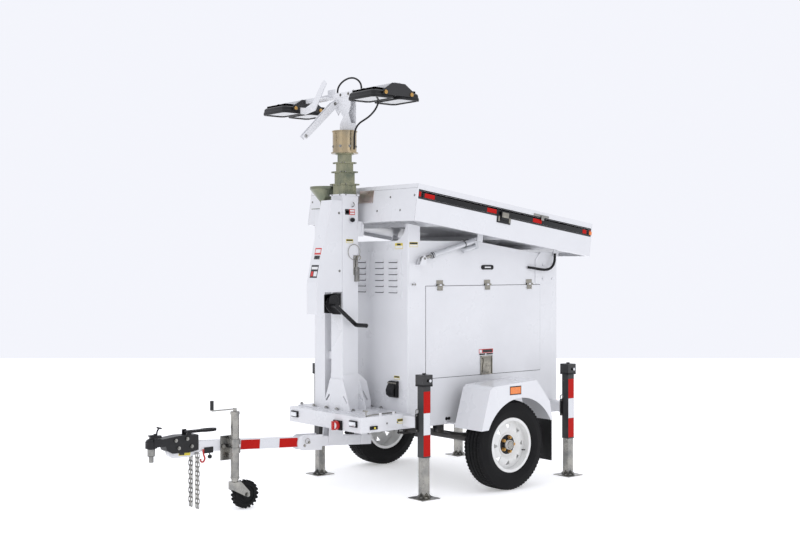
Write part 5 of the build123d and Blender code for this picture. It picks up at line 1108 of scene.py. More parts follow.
label(
    "mast_label_top", ("X", MAST_SIDE, 1), (-0.247, -0.154), (2.098, 2.141), "chassis", label_red,
    (
        (label_black, 0.0, 0.42, 0.0, 1.0), (label_white, 0.50, 0.95, 0.15, 0.40),
        (label_white, 0.50, 0.95, 0.58, 0.86), (label_white, 0.06, 0.36, 0.3, 0.7),
    ),
)
label(
    "mast_label_low", ("X", MAST_SIDE, 1), (-0.238, -0.171), (1.884, 1.913), "chassis", label_yellow,
    ((label_black, 0.05, 0.95, 0.55, 0.9), (label_white, 0.05, 0.95, 0.1, 0.42)),
)
mesh = bmesh.new()
turned(
    mesh,
    ((0, 0.0), (0.009, 0.0), (0.009, 0.010), (0.016, 0.012), (0.0175, 0.020), (0.015, 0.030), (0, 0.031)),
    (MAST_SIDE, -0.190, 2.059), LEFT, 28,
)
make_piece("mast_clamp_knob", mesh, black_plastic, "chassis")
mesh = bmesh.new()
ring_points = [
    (MAST_SIDE + 0.006, -0.166 + 0.057 * math.cos(a), 1.815 + 0.059 * math.sin(a))
    for a in (2 * math.pi * n / 14 + 0.35 for n in range(15))
]
bent_wire(mesh, ring_points, 0.0022, 8)
make_piece("tether_ring", mesh, stainless, "chassis")
mesh = bmesh.new()
block(mesh, (MAST_SIDE, -0.160, 1.590), (MAST_SIDE + 0.020, -0.124, 1.700))
block(mesh, (MAST_SIDE, -0.170, 1.640), (MAST_SIDE + 0.005, -0.126, 1.790))
turned(
    mesh, ((0, 0), (0.0085, 0), (0.0085, 0.052), (0.006, 0.056), (0, 0.056)),
    (MAST_SIDE + 0.011, -0.142, 1.700), UP, 20,
)
make_piece("plunger_holder", mesh, zinc_plate, "chassis", bevel=0.0015)
mesh = bmesh.new()
bent_wire(
    mesh,
    (
        (MAST_SIDE + 0.011, -0.142, 1.750), (MAST_SIDE + 0.011, -0.142, 1.776),
        (MAST_SIDE + 0.011, -0.122, 1.792), (MAST_SIDE + 0.011, -0.106, 1.776),
        (MAST_SIDE + 0.011, -0.118, 1.756),
    ),
    0.004, 10,
)
make_piece("plunger_ring", mesh, stainless, "chassis")
mesh = bmesh.new()
block(mesh, (MAST_SIDE, -0.133, 1.935), (MAST_SIDE + 0.006, -0.083, 2.050))
block(mesh, (MAST_SIDE, -0.094, 1.935), (MAST_SIDE + 0.026, -0.088, 2.030))
make_piece("mast_side_tab", mesh, white_coat, "chassis", bevel=0.002)
mesh = bmesh.new()
bent_wire(
    mesh,
    (
        (MAST_SIDE, -0.181, 2.160), (MAST_SIDE + 0.024, -0.181, 2.162), (MAST_SIDE + 0.030, -0.181, 2.180),
        (MAST_SIDE + 0.014, -0.181, 2.192),
    ),
    0.004, 10,
)
make_piece("mast_hook", mesh, zinc_plate, "chassis")

# ---- Cable post and its funnel ----
# A white square tube beside the mast. A spun zinc funnel with a rolled lip drops the lamp cable into
# it, and its top is gold-passivated.
coat(two_zones("white_post_zinc_funnel", white_coat, yellow_zinc, "Z", 2.1502), "cable_post")

# ---- Winch housing, winch and crank ----
# A folded white cover over a hand winch. The winch's black cheek plates and gear cover stand out of
# its side, over a bent crank with a rolling grip.
coat(white_coat, "winch_housing")
coat(black_coat, "winch")
coat(two_zones("black_arm_black_grip", black_coat, black_plastic, "X", 0.134), "winch_crank")
HOUSING_SIDE = 0.066
bolts(
    "housing_screws",
    [
        ((sign * HOUSING_SIDE, y, z), (sign, 0, 0))
        for sign in (1, -1)
        for y, z in ((-0.299, 2.109), (-0.294, 1.671), (-0.297, 1.400))
    ],
    "chassis", head=0.0065, height=0.004, washer=0.010,
)
mesh = bmesh.new()
turned(
    mesh, ((0, 0), (0.046, 0), (0.046, 0.003), (0.043, 0.006), (0.018, 0.008), (0.018, 0.0095), (0, 0.0095)),
    (0.0602, -0.345, 1.448), LEFT, 44,
)
make_piece("winch_gear_cover", mesh, black_coat, "chassis")
bolts(
    "winch_bolts",
    [
        ((0.0602, -0.345 + 0.036 * math.cos(a), 1.448 + 0.036 * math.sin(a)), LEFT)
        for a in (0.5, 1.76, 3.0, 4.3, 5.5)
    ],
    "chassis", head=0.0055, height=0.004, washer=0.008,
)
slope_y = lambda z: -0.503 + (z - 1.585) * (-0.369 + 0.503) / (2.206 - 1.585)
for name, x, z, colour, bands in (
    (
        "housing_label_top", (-0.030, 0.050), (1.753, 1.844), label_red,
        (
            (label_white, 0.0, 1.0, 0.0, 0.45), (label_black, 0.06, 0.94, 0.06, 0.38),
            (label_white, 0.1, 0.9, 0.6, 0.9),
        ),
    ),
    (
        "housing_label_low", (-0.040, 0.052), (1.620, 1.716), label_black,
        (
            (label_white, 0.08, 0.92, 0.66, 0.86), (label_red, 0.08, 0.4, 0.12, 0.5),
            (label_white, 0.48, 0.92, 0.12, 0.5),
        ),
    ),
):
    for number, (band_colour, left, right, low, high) in enumerate(((colour, 0, 1, 0, 1), *bands)):
        lift = LABEL_LIFT * (1 if number == 0 else 1.8)
        x0, x1 = x[0] + (x[1] - x[0]) * left, x[0] + (x[1] - x[0]) * right
        z0, z1 = z[0] + (z[1] - z[0]) * low, z[0] + (z[1] - z[0]) * high
        mesh = bmesh.new()
        back = [
            mesh.verts.new((px, slope_y(pz) - 0.0001, pz))
            for px, pz in ((x0, z0), (x1, z0), (x1, z1), (x0, z1))
        ]
        front = [mesh.verts.new((v.co.x, v.co.y - lift, v.co.z)) for v in back]
        mesh.faces.new(front)
        mesh.faces.new(list(reversed(back)))
        for i in range(4):
            j = (i + 1) % 4
            mesh.faces.new((back[i], back[j], front[j], front[i]))
        make_piece(f"{name}_{number}", mesh, band_colour, "chassis")

# ---- Head: drum, frame and lamps ----
# A zinc-plated turning drum carries a white frame: a cross bar, black yoke plates and two drooping lock
# bars. Four flat black floodlights hang in it, with finned backs and a grid of square lenses.
coat(
    finish(
        "gold_passivated_drum", (0.46, 0.36, 0.22), 0.26, metal=1.0, second=(0.30, 0.26, 0.19), patch=9,
        spread=0.08, grain=200, grain_height=0.12,
    ),
    "head_drum",
)
LAMP_MIDDLES = {"left": 0.455, "right": -0.690}
YOKE_REACH = 0.1705
YOKE_HALF_SHEET = 0.0030
yoke_coat = two_zones(
    "white_frame_black_yokes", white_coat, black_coat, "X", YOKE_HALF_SHEET,
    pairs=[(middle, YOKE_REACH) for middle in LAMP_MIDDLES.values()],
)
coat(yoke_coat, "head_frame")
HEAD_Y = -0.175
bolts(
    "drum_bolts",
    [
        ((0.0925 * math.cos(a), -0.197 + 0.0925 * math.sin(a), 2.62), (math.cos(a), math.sin(a), 0))
        for a in (-1.9, -1.0, -0.2, 0.6)
    ],
    "head", head=0.007, height=0.005, washer=0.011,
)
bar_bolts = [((x, HEAD_Y - 0.025, 3.023), FRONT) for x in (-0.05, 0.05)] + [
    ((x, HEAD_Y - dy, 3.041), UP) for x in (-0.10, 0.10) for dy in (-0.012, 0.012)
]
bolts("head_bar_bolts", bar_bolts, "head", head=0.008, height=0.006, washer=0.012)
bolts(
    "lock_bar_bolts", [((-0.0840, HEAD_Y - 0.322, 2.692), LEFT), ((-0.0840, HEAD_Y - 0.050, 2.958), LEFT)],
    "head", head=0.009, height=0.007, washer=0.014,
)
lamp_glass = bpy.data.materials.new("lamp_glass")
lamp_glass.use_nodes = True
tree = lamp_glass.node_tree
shader = tree.nodes["Principled BSDF"]
place = add_node(tree, "ShaderNodeTexCoord").outputs["Object"]
dots = add_node(tree, "ShaderNodeTexVoronoi", {"Vector": place, "Scale": 62.0, "Randomness": 0.0})
ramp = add_node(tree, "ShaderNodeValToRGB", {"Fac": dots.outputs["Distance"]})
ramp.color_ramp.elements[0].position = 0.30
ramp.color_ramp.elements[0].color = (0.80, 0.78, 0.62, 1)
ramp.color_ramp.elements[1].position = 0.42
ramp.color_ramp.elements[1].color = (0.20, 0.21, 0.22, 1)
tree.links.new(ramp.outputs["Color"], shader.inputs["Base Color"])
shader.inputs["Roughness"].default_value = 0.08
shader.inputs["Coat Weight"].default_value = 1.0
shader.inputs["Coat Roughness"].default_value = 0.03


def grid_tree(name, material):
    """A flat grid of small blocks, for lamp lenses and solar cells."""
    tree, way_in, way_out = grown(
        name,
        (("Across", "Float"), ("Along", "Float"), ("Columns", "Int"), ("Rows", "Int"), ("Block", "Vector")),
    )
    grid = add_node(
        tree, "GeometryNodeMeshGrid",
        {
            "Size X": way_in.outputs["Across"], "Size Y": way_in.outputs["Along"],
            "Vertices X": way_in.outputs["Columns"], "Vertices Y": way_in.outputs["Rows"],
        },
    )
    cube = add_node(tree, "GeometryNodeMeshCube", {"Size": way_in.outputs["Block"]})
    spread = add_node(
        tree, "GeometryNodeInstanceOnPoints", {"Points": grid.outputs["Mesh"], "Instance": cube.outputs[0]}
    )
    close_tree(tree, way_out, spread.outputs[0], material)
    return tree


lens_grid = grid_tree("lamp_lens_grid", lamp_glass)
fin_row = grid_tree("lamp_fin_row", black_coat)
LAMP_LOW, LAMP_PIVOT_Z = 2.925, 2.9625
for row, y in (("front", HEAD_Y - 0.121), ("rear", HEAD_Y + 0.121)):
    for side, x in LAMP_MIDDLES.items():
        body = f"lamp_{row}_{side}"
        mesh = bmesh.new()
        half_x, half_y, cut = 0.1605, 0.1022, 0.024
        corners = (
            (-half_x + cut, -half_y), (half_x - cut, -half_y), (half_x, -half_y + cut),
            (half_x, half_y - cut), (half_x - cut, half_y), (-half_x + cut, half_y), (-half_x, half_y - cut),
            (-half_x, -half_y + cut),
        )
        levels = []
        for z, scale in (
            (0.0, 0.985), (0.003, 1.0), (0.020, 1.0), (0.024, 0.975), (0.046, 0.955), (0.0565, 0.87)
        ):
            levels.append(
                [mesh.verts.new((x + cx * scale, y + cy * scale, LAMP_LOW + z)) for cx, cy in corners]
            )
        for low, high in zip(levels, levels[1:]):
            for i in range(8):
                j = (i + 1) % 8
                mesh.faces.new((low[i], low[j], high[j], high[i]))
        mesh.faces.new(levels[-1])
        inner = [
            [mesh.verts.new((x + cx * scale, y + cy * scale, LAMP_LOW + z)) for cx, cy in corners]
            for z, scale in ((0.0, 0.88), (0.009, 0.86))
        ]
        for low, high in zip([levels[0], *inner], inner):
            for i in range(8):
                j = (i + 1) % 8
                mesh.faces.new((low[j], low[i], high[i], high[j]))
        mesh.faces.new(list(reversed(inner[-1])))
        case = make_piece(f"{body}_case", mesh, black_coat, body, bevel=0.0012)
        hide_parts(body)
        seed = bpy.data.meshes.new("fins")
        grow(
            f"{body}_fins", seed, fin_row,
            {"Across": 0.250, "Along": 0.0, "Columns": 15, "Rows": 2, "Block": (0.0035, 0.150, 0.0165)}, body,
            place=Matrix.Translation((x, y, LAMP_LOW + 0.0655)),
        )
        mesh = bmesh.new()
        block(mesh, (x - 0.062, y - 0.055, LAMP_LOW + 0.056), (x + 0.062, y + 0.055, LAMP_LOW + 0.0745))
        make_piece(f"{body}_driver", mesh, grey_case, body, bevel=0.004)
        seed = bpy.data.meshes.new("lenses")
        grow(
            f"{body}_lenses", seed, lens_grid,
            {"Across": 0.232, "Along": 0.124, "Columns": 9, "Rows": 5, "Block": (0.024, 0.024, 0.004)}, body,
            place=Matrix.Translation((x, y, LAMP_LOW + 0.0075)),
        )
        mesh = bmesh.new()
        block(mesh, (x - 0.137, y - 0.082, LAMP_LOW + 0.0055), (x + 0.137, y + 0.082, LAMP_LOW + 0.0085))
        make_piece(f"{body}_glass", mesh, lamp_glass, body)
        for end in (1, -1):
            mesh = bmesh.new()
            turned(
                mesh,
                (
                    (0, 0.0), (0.0079, 0.0), (0.0079, 0.0162), (0.014, 0.0165), (0.0149, 0.019),
                    (0.0149, 0.0235), (0.012, 0.0262), (0.005, 0.0264), (0.005, 0.028), (0, 0.028),
                ),
                (x + end * 0.156, y, LAMP_PIVOT_Z), (end, 0, 0), 28,
            )
            make_piece(f"{body}_knob_{'out' if end == 1 else 'in'}", mesh, brass, body)

# ---- Solar box, modules and wings ----
# A shallow folded box, hinged at the rear and sloping back over the cabinet. A framed module fills
# its top, and two more slide out of its sides behind black edge strips with red reflectors.
PANEL_SLOPE = math.radians(7.7)
PANEL_REAR = Vector((0, 1.834, 1.786))
PANEL_LENGTH, PANEL_HALF, PANEL_HEIGHT = 1.918, 0.677, 0.275
panel_along = Vector((0, -math.cos(PANEL_SLOPE), math.sin(PANEL_SLOPE)))
panel_up = Vector((0, math.sin(PANEL_SLOPE), math.cos(PANEL_SLOPE)))
panel_frame = Matrix((
    (1, 0, 0, 0),
    (0, -panel_along.y, panel_up.y, PANEL_REAR.y),
    (0, -panel_along.z, panel_up.z, PANEL_REAR.z),
    (0, 0, 0, 1),
))
coat(white_coat, "panel_box")
aluminium = finish(
    "anodised_aluminium", (0.62, 0.63, 0.65), 0.34, metal=0.9, second=(0.54, 0.55, 0.57), patch=30, grain=700,
    grain_height=0.2,
)
coat(aluminium, "panel_wing_left", "panel_wing_right")
cell_blue = finish(
    "solar_cell", (0.006, 0.011, 0.038), 0.22, metal=0.3, second=(0.010, 0.018, 0.055), patch=7, grain=900,
    grain_height=0.1, coat=0.9,
)
backsheet = finish(
    "module_backsheet", (0.60, 0.61, 0.64), 0.35, patch=5, grain=300, grain_height=0.1, coat=0.6
)
cell_tree = grid_tree("solar_cells", cell_blue)


def on_panel(x, run, up):
    """A point of the box: across, along from its rear edge, and up from its floor."""
    return Vector((x, PANEL_REAR.y, PANEL_REAR.z)) + panel_along * run + panel_up * up


def panel_block(mesh, x, run, up):
    """A box set square to the sloping solar box."""
    corners = [mesh.verts.new(on_panel(a, r, u)) for u in sorted(up) for r in sorted(run) for a in sorted(x)]
    for face in ((0, 1, 3, 2), (4, 6, 7, 5), (0, 4, 5, 1), (2, 3, 7, 6), (0, 2, 6, 4), (1, 5, 7, 3)):
        mesh.faces.new([corners[i] for i in face])


def module_face(name, body, middle_x, across, along, up, columns, rows):
    """A pale backsheet, with a grid of dark cells; a glossy coat on both stands for the glass."""
    mesh = bmesh.new()
    middle = PANEL_LENGTH / 2
    panel_block(
        mesh, (middle_x - across / 2, middle_x + across / 2), (middle - along / 2, middle + along / 2),
        (up - 0.0012, up - 0.0002),
    )
    make_piece(f"{name}_sheet", mesh, backsheet, body)
    cell = (across / columns - 0.006, along / rows - 0.006, 0.0008)
    sizes = {
        "Across": across * (1 - 1 / columns), "Along": along * (1 - 1 / rows),
        "Columns": columns, "Rows": rows, "Block": cell,
    }
    place = panel_frame @ Matrix.Translation((middle_x, -middle, up + 0.0003))
    grow(f"{name}_cells", bpy.data.meshes.new("cells"), cell_tree, sizes, body, place=place)


module_face("fixed_module", "panel_box", 0.0, 1.290, 1.830, PANEL_HEIGHT - 0.0015, 8, 12)
for side, sign, wing_up in (("left", 1, 0.176), ("right", -1, 0.096)):
    wing = f"wing_{side}"
    middle_x = sign * (0.660 - 0.630)
    module_face(f"wing_module_{side}", wing, middle_x, 1.200, 1.740, wing_up + 0.0385, 8, 12)
    # Black edge strip on the wing, with its reflectors
    mesh = bmesh.new()
    panel_block(mesh, (sign * 0.6602, sign * 0.6735), (0.055, 1.862), (wing_up + 0.0006, wing_up + 0.0394))
    make_piece(f"wing_edge_{side}", mesh, black_coat, wing, bevel=0.0015)
    mesh = bmesh.new()
    for low, high in ((0.065, 0.110), (0.600, 0.700), (1.105, 1.206), (1.745, 1.843)):
        panel_block(mesh, (sign * 0.6734, sign * 0.6742), (low, high), (wing_up + 0.004, wing_up + 0.036))
    make_piece(f"wing_reflectors_{side}", mesh, red_tape, wing)
    # Black borders above and below the slot
    mesh = bmesh.new()
    for low, high in ((wing_up - 0.013, wing_up - 0.0006), (wing_up + 0.0484, wing_up + 0.057)):
        panel_block(mesh, (sign * PANEL_HALF, sign * (PANEL_HALF + 0.0006)), (0.012, 1.906), (low, high))
    for low, high in ((0.012, 0.040), (1.878, 1.906)):
        panel_block(
            mesh, (sign * PANEL_HALF, sign * (PANEL_HALF + 0.0006)), (low, high),
            (wing_up - 0.0006, wing_up + 0.0484),
        )
    make_piece(f"slot_border_{side}", mesh, label_black, "panel_box")
    mesh = bmesh.new()
    for low, high in ((0.016, 0.036), (1.882, 1.902)):
        panel_block(
            mesh, (sign * (PANEL_HALF + 0.0005), sign * (PANEL_HALF + 0.0010)), (low, high),
            (wing_up + 0.004, wing_up + 0.040),
        )
    make_piece(f"end_reflectors_{side}", mesh, red_tape, "panel_box")
    # Draw latch in the middle of the side, and a hasp behind it
    mesh = bmesh.new()
    panel_block(
        mesh, (sign * PANEL_HALF, sign * (PANEL_HALF + 0.006)), (0.952, 1.100),
        (wing_up - 0.060, wing_up + 0.0),
    )
    panel_block(
        mesh, (sign * PANEL_HALF, sign * (PANEL_HALF + 0.016)), (0.985, 1.066),
        (wing_up - 0.034, wing_up + 0.030),
    )
    make_piece(f"draw_latch_{side}", mesh, black_coat, "panel_box", bevel=0.002)
    mesh = bmesh.new()
    panel_block(
        mesh, (sign * (PANEL_HALF + 0.0155), sign * (PANEL_HALF + 0.020)), (0.990, 1.061),
        (wing_up - 0.016, wing_up + 0.024),
    )
    panel_block(
        mesh, (sign * (PANEL_HALF + 0.005), sign * (PANEL_HALF + 0.011)), (0.960, 0.976),
        (wing_up - 0.050, wing_up - 0.010),
    )
    panel_block(
        mesh, (sign * (PANEL_HALF + 0.005), sign * (PANEL_HALF + 0.011)), (1.076, 1.092),
        (wing_up - 0.050, wing_up - 0.010),
    )
    make_piece(f"latch_lever_{side}", mesh, stainless, "panel_box", bevel=0.0015)
    mesh = bmesh.new()
    panel_block(
        mesh, (sign * PANEL_HALF, sign * (PANEL_HALF + 0.005)), (0.530, 0.700),
        (wing_up + 0.058, wing_up + 0.074),
    )
    panel_block(
        mesh, (sign * (PANEL_HALF + 0.004), sign * (PANEL_HALF + 0.012)), (0.590, 0.622),
        (wing_up + 0.030, wing_up + 0.070),
    )
    make_piece(f"wing_hasp_{side}", mesh, zinc_plate, "panel_box", bevel=0.001)
    mesh = bmesh.new()
    panel_block(
        mesh, (sign * PANEL_HALF, sign * (PANEL_HALF + 0.004)), (0.004, 0.034), (0.192 - 0.014, 0.192 + 0.014)
    )
    make_piece(f"rear_marker_{side}", mesh, lens_amber, "panel_box", bevel=0.001)
front_face = []
for x, z in ((0.367, 2.225), (0.647, 2.228), (0.222, 2.126), (0.497, 2.123)):
    rise = (z - on_panel(0, PANEL_LENGTH, 0).z) / panel_up.z
    front_face += [(tuple(on_panel(side * x, PANEL_LENGTH, rise)), tuple(panel_along)) for side in (1, -1)]
bolts("panel_front_bolts", front_face, "panel_box", head=0.0055, height=0.002, washer=0.009)
mesh = bmesh.new()
panel_block(mesh, (-0.016, 0.160), (PANEL_LENGTH, PANEL_LENGTH + 0.004), (0.150, 0.245))
panel_block(mesh, (-0.016, 0.160), (PANEL_LENGTH, PANEL_LENGTH + 0.022), (0.150, 0.156))
make_piece(
    "panel_stop_bracket", mesh,
    finish(
        "pink_zinc_bracket", (0.55, 0.42, 0.40), 0.32, metal=0.8, second=(0.50, 0.46, 0.40), patch=20,
        grain=300, grain_height=0.2,
    ),
    "panel_box", bevel=0.0015,
)
# Seams of the folded corners, seen as fine dark lines
mesh = bmesh.new()
for side in (1, -1):
    for low, high in ((0.0, 0.160), (0.236, PANEL_HEIGHT - 0.002)):
        panel_block(
            mesh, (side * (PANEL_HALF - 0.0030), side * (PANEL_HALF - 0.0022)),
            (PANEL_LENGTH, PANEL_LENGTH + 0.00025), (low, high),
        )
panel_block(
    mesh, (-PANEL_HALF + 0.001, PANEL_HALF - 0.001), (PANEL_LENGTH, PANEL_LENGTH + 0.00025),
    (PANEL_HEIGHT - 0.0330, PANEL_HEIGHT - 0.0318),
)
make_piece("panel_seams", mesh, label_black, "panel_box")

# ---- Tilt actuators ----
# Electric linear actuators: grey extruded bodies with geared motors, and polished rods, pinned
# between the cabinet's brackets and the solar box.
actuator_grey = finish(
    "actuator_grey", (0.60, 0.61, 0.63), 0.36, metal=0.5, second=(0.54, 0.55, 0.57), patch=20, grain=500,
    grain_height=0.2,
)
coat(actuator_grey, "actuator_body_left", "actuator_body_right")
coat(zinc_plate, "actuator_rod_left", "actuator_rod_right")
for side, sign in (("left", 1), ("right", -1)):
    base = Vector((sign * 0.500, 0.165, 1.765))
    reach = (Vector((sign * 0.500, 0.725, 1.915)) - base).normalized()
    mesh = bmesh.new()
    for at, width in ((0.080, 0.012), (0.100, 0.006), (0.430, 0.010)):
        turned(
            mesh, ((0.0221, 0), (0.0236, 0.001), (0.0236, width - 0.001), (0.0221, width)), base + reach * at,
            reach, 28,
        )
    make_piece(f"actuator_bands_{side}", mesh, black_plastic, f"actuator_body_{side}")

# ---- Drawbar ----
# A white square tube that folds on a zinc pin. Red and white reflective tape is stuck along both
# sides, and small warning strips on its tongue. A red safety hook hangs under it.
coat(white_coat, "drawbar")
DRAWBAR_SLOPE = math.radians(3.47)
DRAWBAR_AT = Vector((0, -0.605, 0.404))
drawbar_back = Vector((0, math.cos(DRAWBAR_SLOPE), -math.sin(DRAWBAR_SLOPE)))
drawbar_up = Vector((0, math.sin(DRAWBAR_SLOPE), math.cos(DRAWBAR_SLOPE)))


def drawbar_block(mesh, x, back, up):
    """A box set square to the sloping drawbar."""
    corners = [
        mesh.verts.new(Vector((a, 0, 0)) + DRAWBAR_AT + drawbar_back * b + drawbar_up * u)
        for u in sorted(up) for b in sorted(back) for a in sorted(x)
    ]
    for face in ((0, 2, 3, 1), (4, 5, 7, 6), (0, 1, 5, 4), (2, 6, 7, 3), (0, 4, 6, 2), (1, 3, 7, 5)):
        mesh.faces.new([corners[i] for i in face])


for side, sign in (("left", 1), ("right", -1)):
    for number, (low, high, tape) in enumerate(
        ((-0.541, -0.381, red_tape), (-0.380, -0.213, white_tape), (-0.212, -0.053, red_tape))
    ):
        mesh = bmesh.new()
        drawbar_block(mesh, (sign * 0.036, sign * 0.0366), (low, high), (-0.0335, 0.0335))
        make_piece(f"drawbar_tape_{side}_{number}", mesh, tape, "drawbar")
    for name, low, high, up_low, up_high, colour in (
        ("tongue_strip", -1.022, -0.936, -0.026, -0.006, lens_amber),
        ("tongue_label", -1.030, -0.940, -0.060, -0.030, label_yellow),
        ("tongue_mark", -1.026, -0.985, -0.056, -0.034, label_black),
    ):
        mesh = bmesh.new()
        lift = 0.0010 if name == "tongue_mark" else 0.0006
        drawbar_block(mesh, (sign * 0.026, sign * (0.026 + lift)), (low, high), (up_low, up_high))
        make_piece(f"{name}_{side}", mesh, colour, "drawbar")
    mesh = bmesh.new()
    lynch = Vector((sign * 0.0585, -0.584, 0.424))
    bent_wire(
        mesh,
        [
            lynch + Vector((sign * 0.002, 0.020 * math.cos(a), 0.020 * math.sin(a) - 0.012))
            for a in (2 * math.pi * n / 10 for n in range(11))
        ],
        0.0022, 8,
    )
    make_piece(f"lynch_ring_{side}", mesh, zinc_plate, "chassis")
    bolts(
        f"socket_bolts_{side}",
        [((sign * 0.0467, y, z), (sign, 0, 0)) for y, z in ((-0.600, 0.378), (-0.560, 0.398))], "chassis",
        head=0.008, height=0.006, washer=0.012,
    )
mesh = bmesh.new()
bent_wire(
    mesh,
    (
        (0.047, -1.455, 0.436), (0.047, -1.455, 0.400), (0.047, -1.440, 0.372), (0.047, -1.455, 0.345),
        (0.047, -1.476, 0.352), (0.047, -1.476, 0.372),
    ),
    0.006, 12,
)
make_piece("safety_hook", mesh, signal_red, "drawbar")
mesh = bmesh.new()
block(mesh, (0.0364, -1.443, 0.404), (0.0400, -1.371, 0.446))
turned(
    mesh,
    ((0, 0), (0.008, 0.001), (0.014, 0.006), (0.016, 0.014), (0.014, 0.022), (0.008, 0.027), (0, 0.028)),
    (0.046, -1.403, 0.366), UP, 24,
)
bent_wire(mesh, ((0.041, -1.403, 0.410), (0.046, -1.403, 0.394)), 0.004, 10)
make_piece("hook_bracket", mesh, black_coat, "drawbar", bevel=0.0015)

# ---- Coupling ----
# A pressed black coupling bolted through the drawbar, with a plated lock insert in its ball cup, a
# spring catch with a T-lever on its nose, and a long handle behind.
coat(black_coat, "coupler")
coat(black_plastic, "coupler_handle")
mesh = bmesh.new()
turned(
    mesh,
    (
        (0, 0), (0.0150, 0), (0.0165, 0.002), (0.0165, 0.0420), (0.0200, 0.0425), (0.0258, 0.045),
        (0.0260, 0.0895), (0, 0.0900),
    ),
    (0, -1.830, 0.3780), UP, 36,
)
make_piece("lock_insert", mesh, zinc_plate, "drawbar")
places = [
    ((sign * 0.0512, y, z), (sign, 0, 0))
    for sign in (1, -1)
    for y, z in ((-1.668, 0.516), (-1.580, 0.520), (-1.645, 0.462), (-1.545, 0.466))
]
bolts("coupling_bolts", places, "drawbar", head=0.0092, height=0.007, washer=0.0125)
mesh = bmesh.new()
bent_wire(mesh, ((0, -1.790, 0.556), (0, -1.786, 0.586), (0, -1.772, 0.604)), 0.0055, 12)
bent_wire(mesh, ((-0.028, -1.770, 0.606), (0.028, -1.770, 0.606)), 0.006, 12)
turned(mesh, ((0, 0), (0.012, 0), (0.012, 0.010), (0.008, 0.014), (0, 0.014)), (0, -1.800, 0.5555), UP, 24)
make_piece("coupling_t_lever", mesh, black_coat, "drawbar")

# ---- Jockey wheel ----
# A zinc-plated jockey: a clamp and outer tube, a cranked handle with a black grip, and a swivel fork
# that carries a ribbed black wheel on a plated bolt.
coat(zinc_plate, "jockey_tube", "jockey_leg", "jockey_fork")
coat(two_zones("zinc_crank_black_grip", zinc_plate, black_plastic, "Z", 0.7125), "jockey_crank")
JOCKEY_WHEEL = Vector((0.112, -1.160, 0.100))
mesh = bmesh.new()
tread = (
    (0.022, -0.0275), (0.034, -0.0275), (0.036, -0.020), (0.060, -0.020), (0.064, -0.0268), (0.078, -0.0275),
    (0.088, -0.0235), (0.0925, -0.015), (0.0935, 0.0), (0.0925, 0.015), (0.088, 0.0235), (0.078, 0.0275),
    (0.064, 0.0268), (0.060, 0.020), (0.036, 0.020), (0.034, 0.0275), (0.022, 0.0275),
)
turned(mesh, tread + (tread[0],), JOCKEY_WHEEL, (1, 0, 0), 48)
wheel_piece = make_piece("jockey_tyre", mesh, rubber, "jockey_wheel", sharp=40)
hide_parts("jockey_wheel")
jockey_turn = Matrix.Translation(JOCKEY_WHEEL) @ Matrix.Rotation(math.pi / 2, 4, "Y")
for row, offset in enumerate((-0.013, 0.013)):
    sizes = {
        "Count": 20, "Ring radius": 0.0945, "Block": (0.0098, 0.0150, 0.0230),
        "Slant": 0.35 if row else -0.35, "Offset": offset,
    }
    grow(
        f"jockey_lugs_{row}", bpy.data.meshes.new("lugs"), tread_rows, sizes, "jockey_wheel",
        place=jockey_turn,
    )
mesh = bmesh.new()
turned(
    mesh, ((0.0095, -0.0272), (0.0225, -0.0272), (0.0225, 0.0272), (0.0095, 0.0272), (0.0095, -0.0272)),
    JOCKEY_WHEEL, (1, 0, 0), 32,
)
make_piece("jockey_hub", mesh, black_plastic, "jockey_wheel")
bolts(
    "jockey_axle_nuts",
    [((JOCKEY_WHEEL.x + sign * 0.0455, JOCKEY_WHEEL.y, JOCKEY_WHEEL.z), (sign, 0, 0)) for sign in (1, -1)],
    "jockey_fork", head=0.0115, height=0.009, washer=0.015,
)
bolts(
    "clamp_bolts", [((0.0621, -1.240 + dy, z), LEFT) for dy in (-0.060, 0.040) for z in (0.4425,)], "drawbar",
    head=0.010, height=0.008, washer=0.014,
)
mesh = bmesh.new()
turned(mesh, ((0.0301, 0), (0.0335, 0.001), (0.0335, 0.018), (0.0301, 0.019)), (0.112, -1.240, 0.668), UP, 32)
turned(mesh, ((0.0301, 0), (0.0325, 0.001), (0.0325, 0.010), (0.0301, 0.011)), (0.112, -1.240, 0.220), UP, 32)
make_piece("jockey_tube_bands", mesh, zinc_plate, "drawbar")

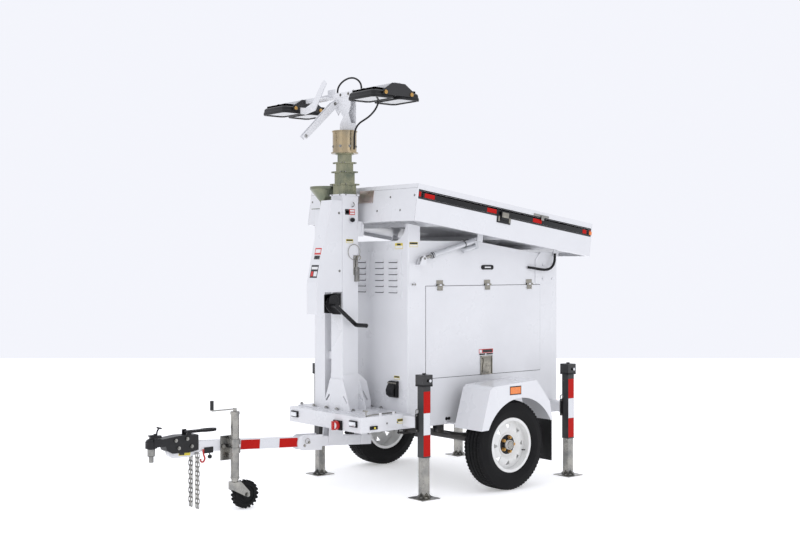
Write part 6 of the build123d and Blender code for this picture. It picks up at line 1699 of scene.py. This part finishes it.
# ---- Safety chains ----
# Two zinc-plated safety chains, each doubled over a cross rod: round wire links, every second one
# turned a quarter.
tree, way_in, way_out = grown(
    "chain_links",
    (
        ("Links", "Int"), ("Pitch", "Float"), ("Wire", "Float"), ("Link width", "Float"),
        ("Link length", "Float"),
    ),
)
drop = add_node(tree, "ShaderNodeMath", {0: way_in.outputs["Pitch"], 1: -1.0}, operation="MULTIPLY")
step_down = add_node(tree, "ShaderNodeCombineXYZ", {"Z": drop.outputs[0]})
line = add_node(
    tree, "GeometryNodeMeshLine", {"Count": way_in.outputs["Links"], "Offset": step_down.outputs[0]},
    mode="OFFSET",
)
oval = add_node(
    tree, "GeometryNodeCurvePrimitiveQuadrilateral",
    {"Width": way_in.outputs["Link width"], "Height": way_in.outputs["Link length"]},
)
bend = add_node(tree, "ShaderNodeMath", {0: way_in.outputs["Link width"], 1: 0.499}, operation="MULTIPLY")
rounded = add_node(
    tree, "GeometryNodeFilletCurve", {"Curve": oval.outputs[0], "Radius": bend.outputs[0], "Count": 5},
    mode="POLY",
)
section = add_node(
    tree, "GeometryNodeCurvePrimitiveCircle", {"Resolution": 8, "Radius": way_in.outputs["Wire"]}
)
link = add_node(
    tree, "GeometryNodeCurveToMesh", {"Curve": rounded.outputs[0], "Profile Curve": section.outputs[0]}
)
upright = add_node(
    tree, "GeometryNodeTransform", {"Geometry": link.outputs[0], "Rotation": (math.pi / 2, 0, math.pi / 2)}
)
which = add_node(tree, "GeometryNodeInputIndex")
quarter = add_node(tree, "ShaderNodeMath", {0: which.outputs[0], 1: math.pi / 2}, operation="MULTIPLY")
turn = add_node(tree, "ShaderNodeCombineXYZ", {"Z": quarter.outputs[0]})
hung = add_node(
    tree, "GeometryNodeInstanceOnPoints",
    {"Points": line.outputs[0], "Instance": upright.outputs[0], "Rotation": turn.outputs[0]},
)
close_tree(tree, way_out, hung.outputs[0], zinc_plate)
CHAIN_TOP, LINK_INNER, LINK_WIRE, LINK_WIDTH = 0.4138, 0.032, 0.007, 0.024
for number, x in enumerate((0.034, 0.058, -0.034, -0.058)):
    sizes = {
        "Links": 12, "Pitch": LINK_INNER - 0.0004, "Wire": LINK_WIRE / 2,
        "Link width": LINK_WIDTH - LINK_WIRE, "Link length": LINK_INNER + LINK_WIRE,
    }
    run = grow(
        f"chain_run_{number}", bpy.data.meshes.new("links"), tree, sizes, "drawbar",
        place=Matrix.Translation((x, -1.502, CHAIN_TOP - LINK_INNER / 2)), sharp=60,
    )
    if number == 0:
        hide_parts("safety_chains")
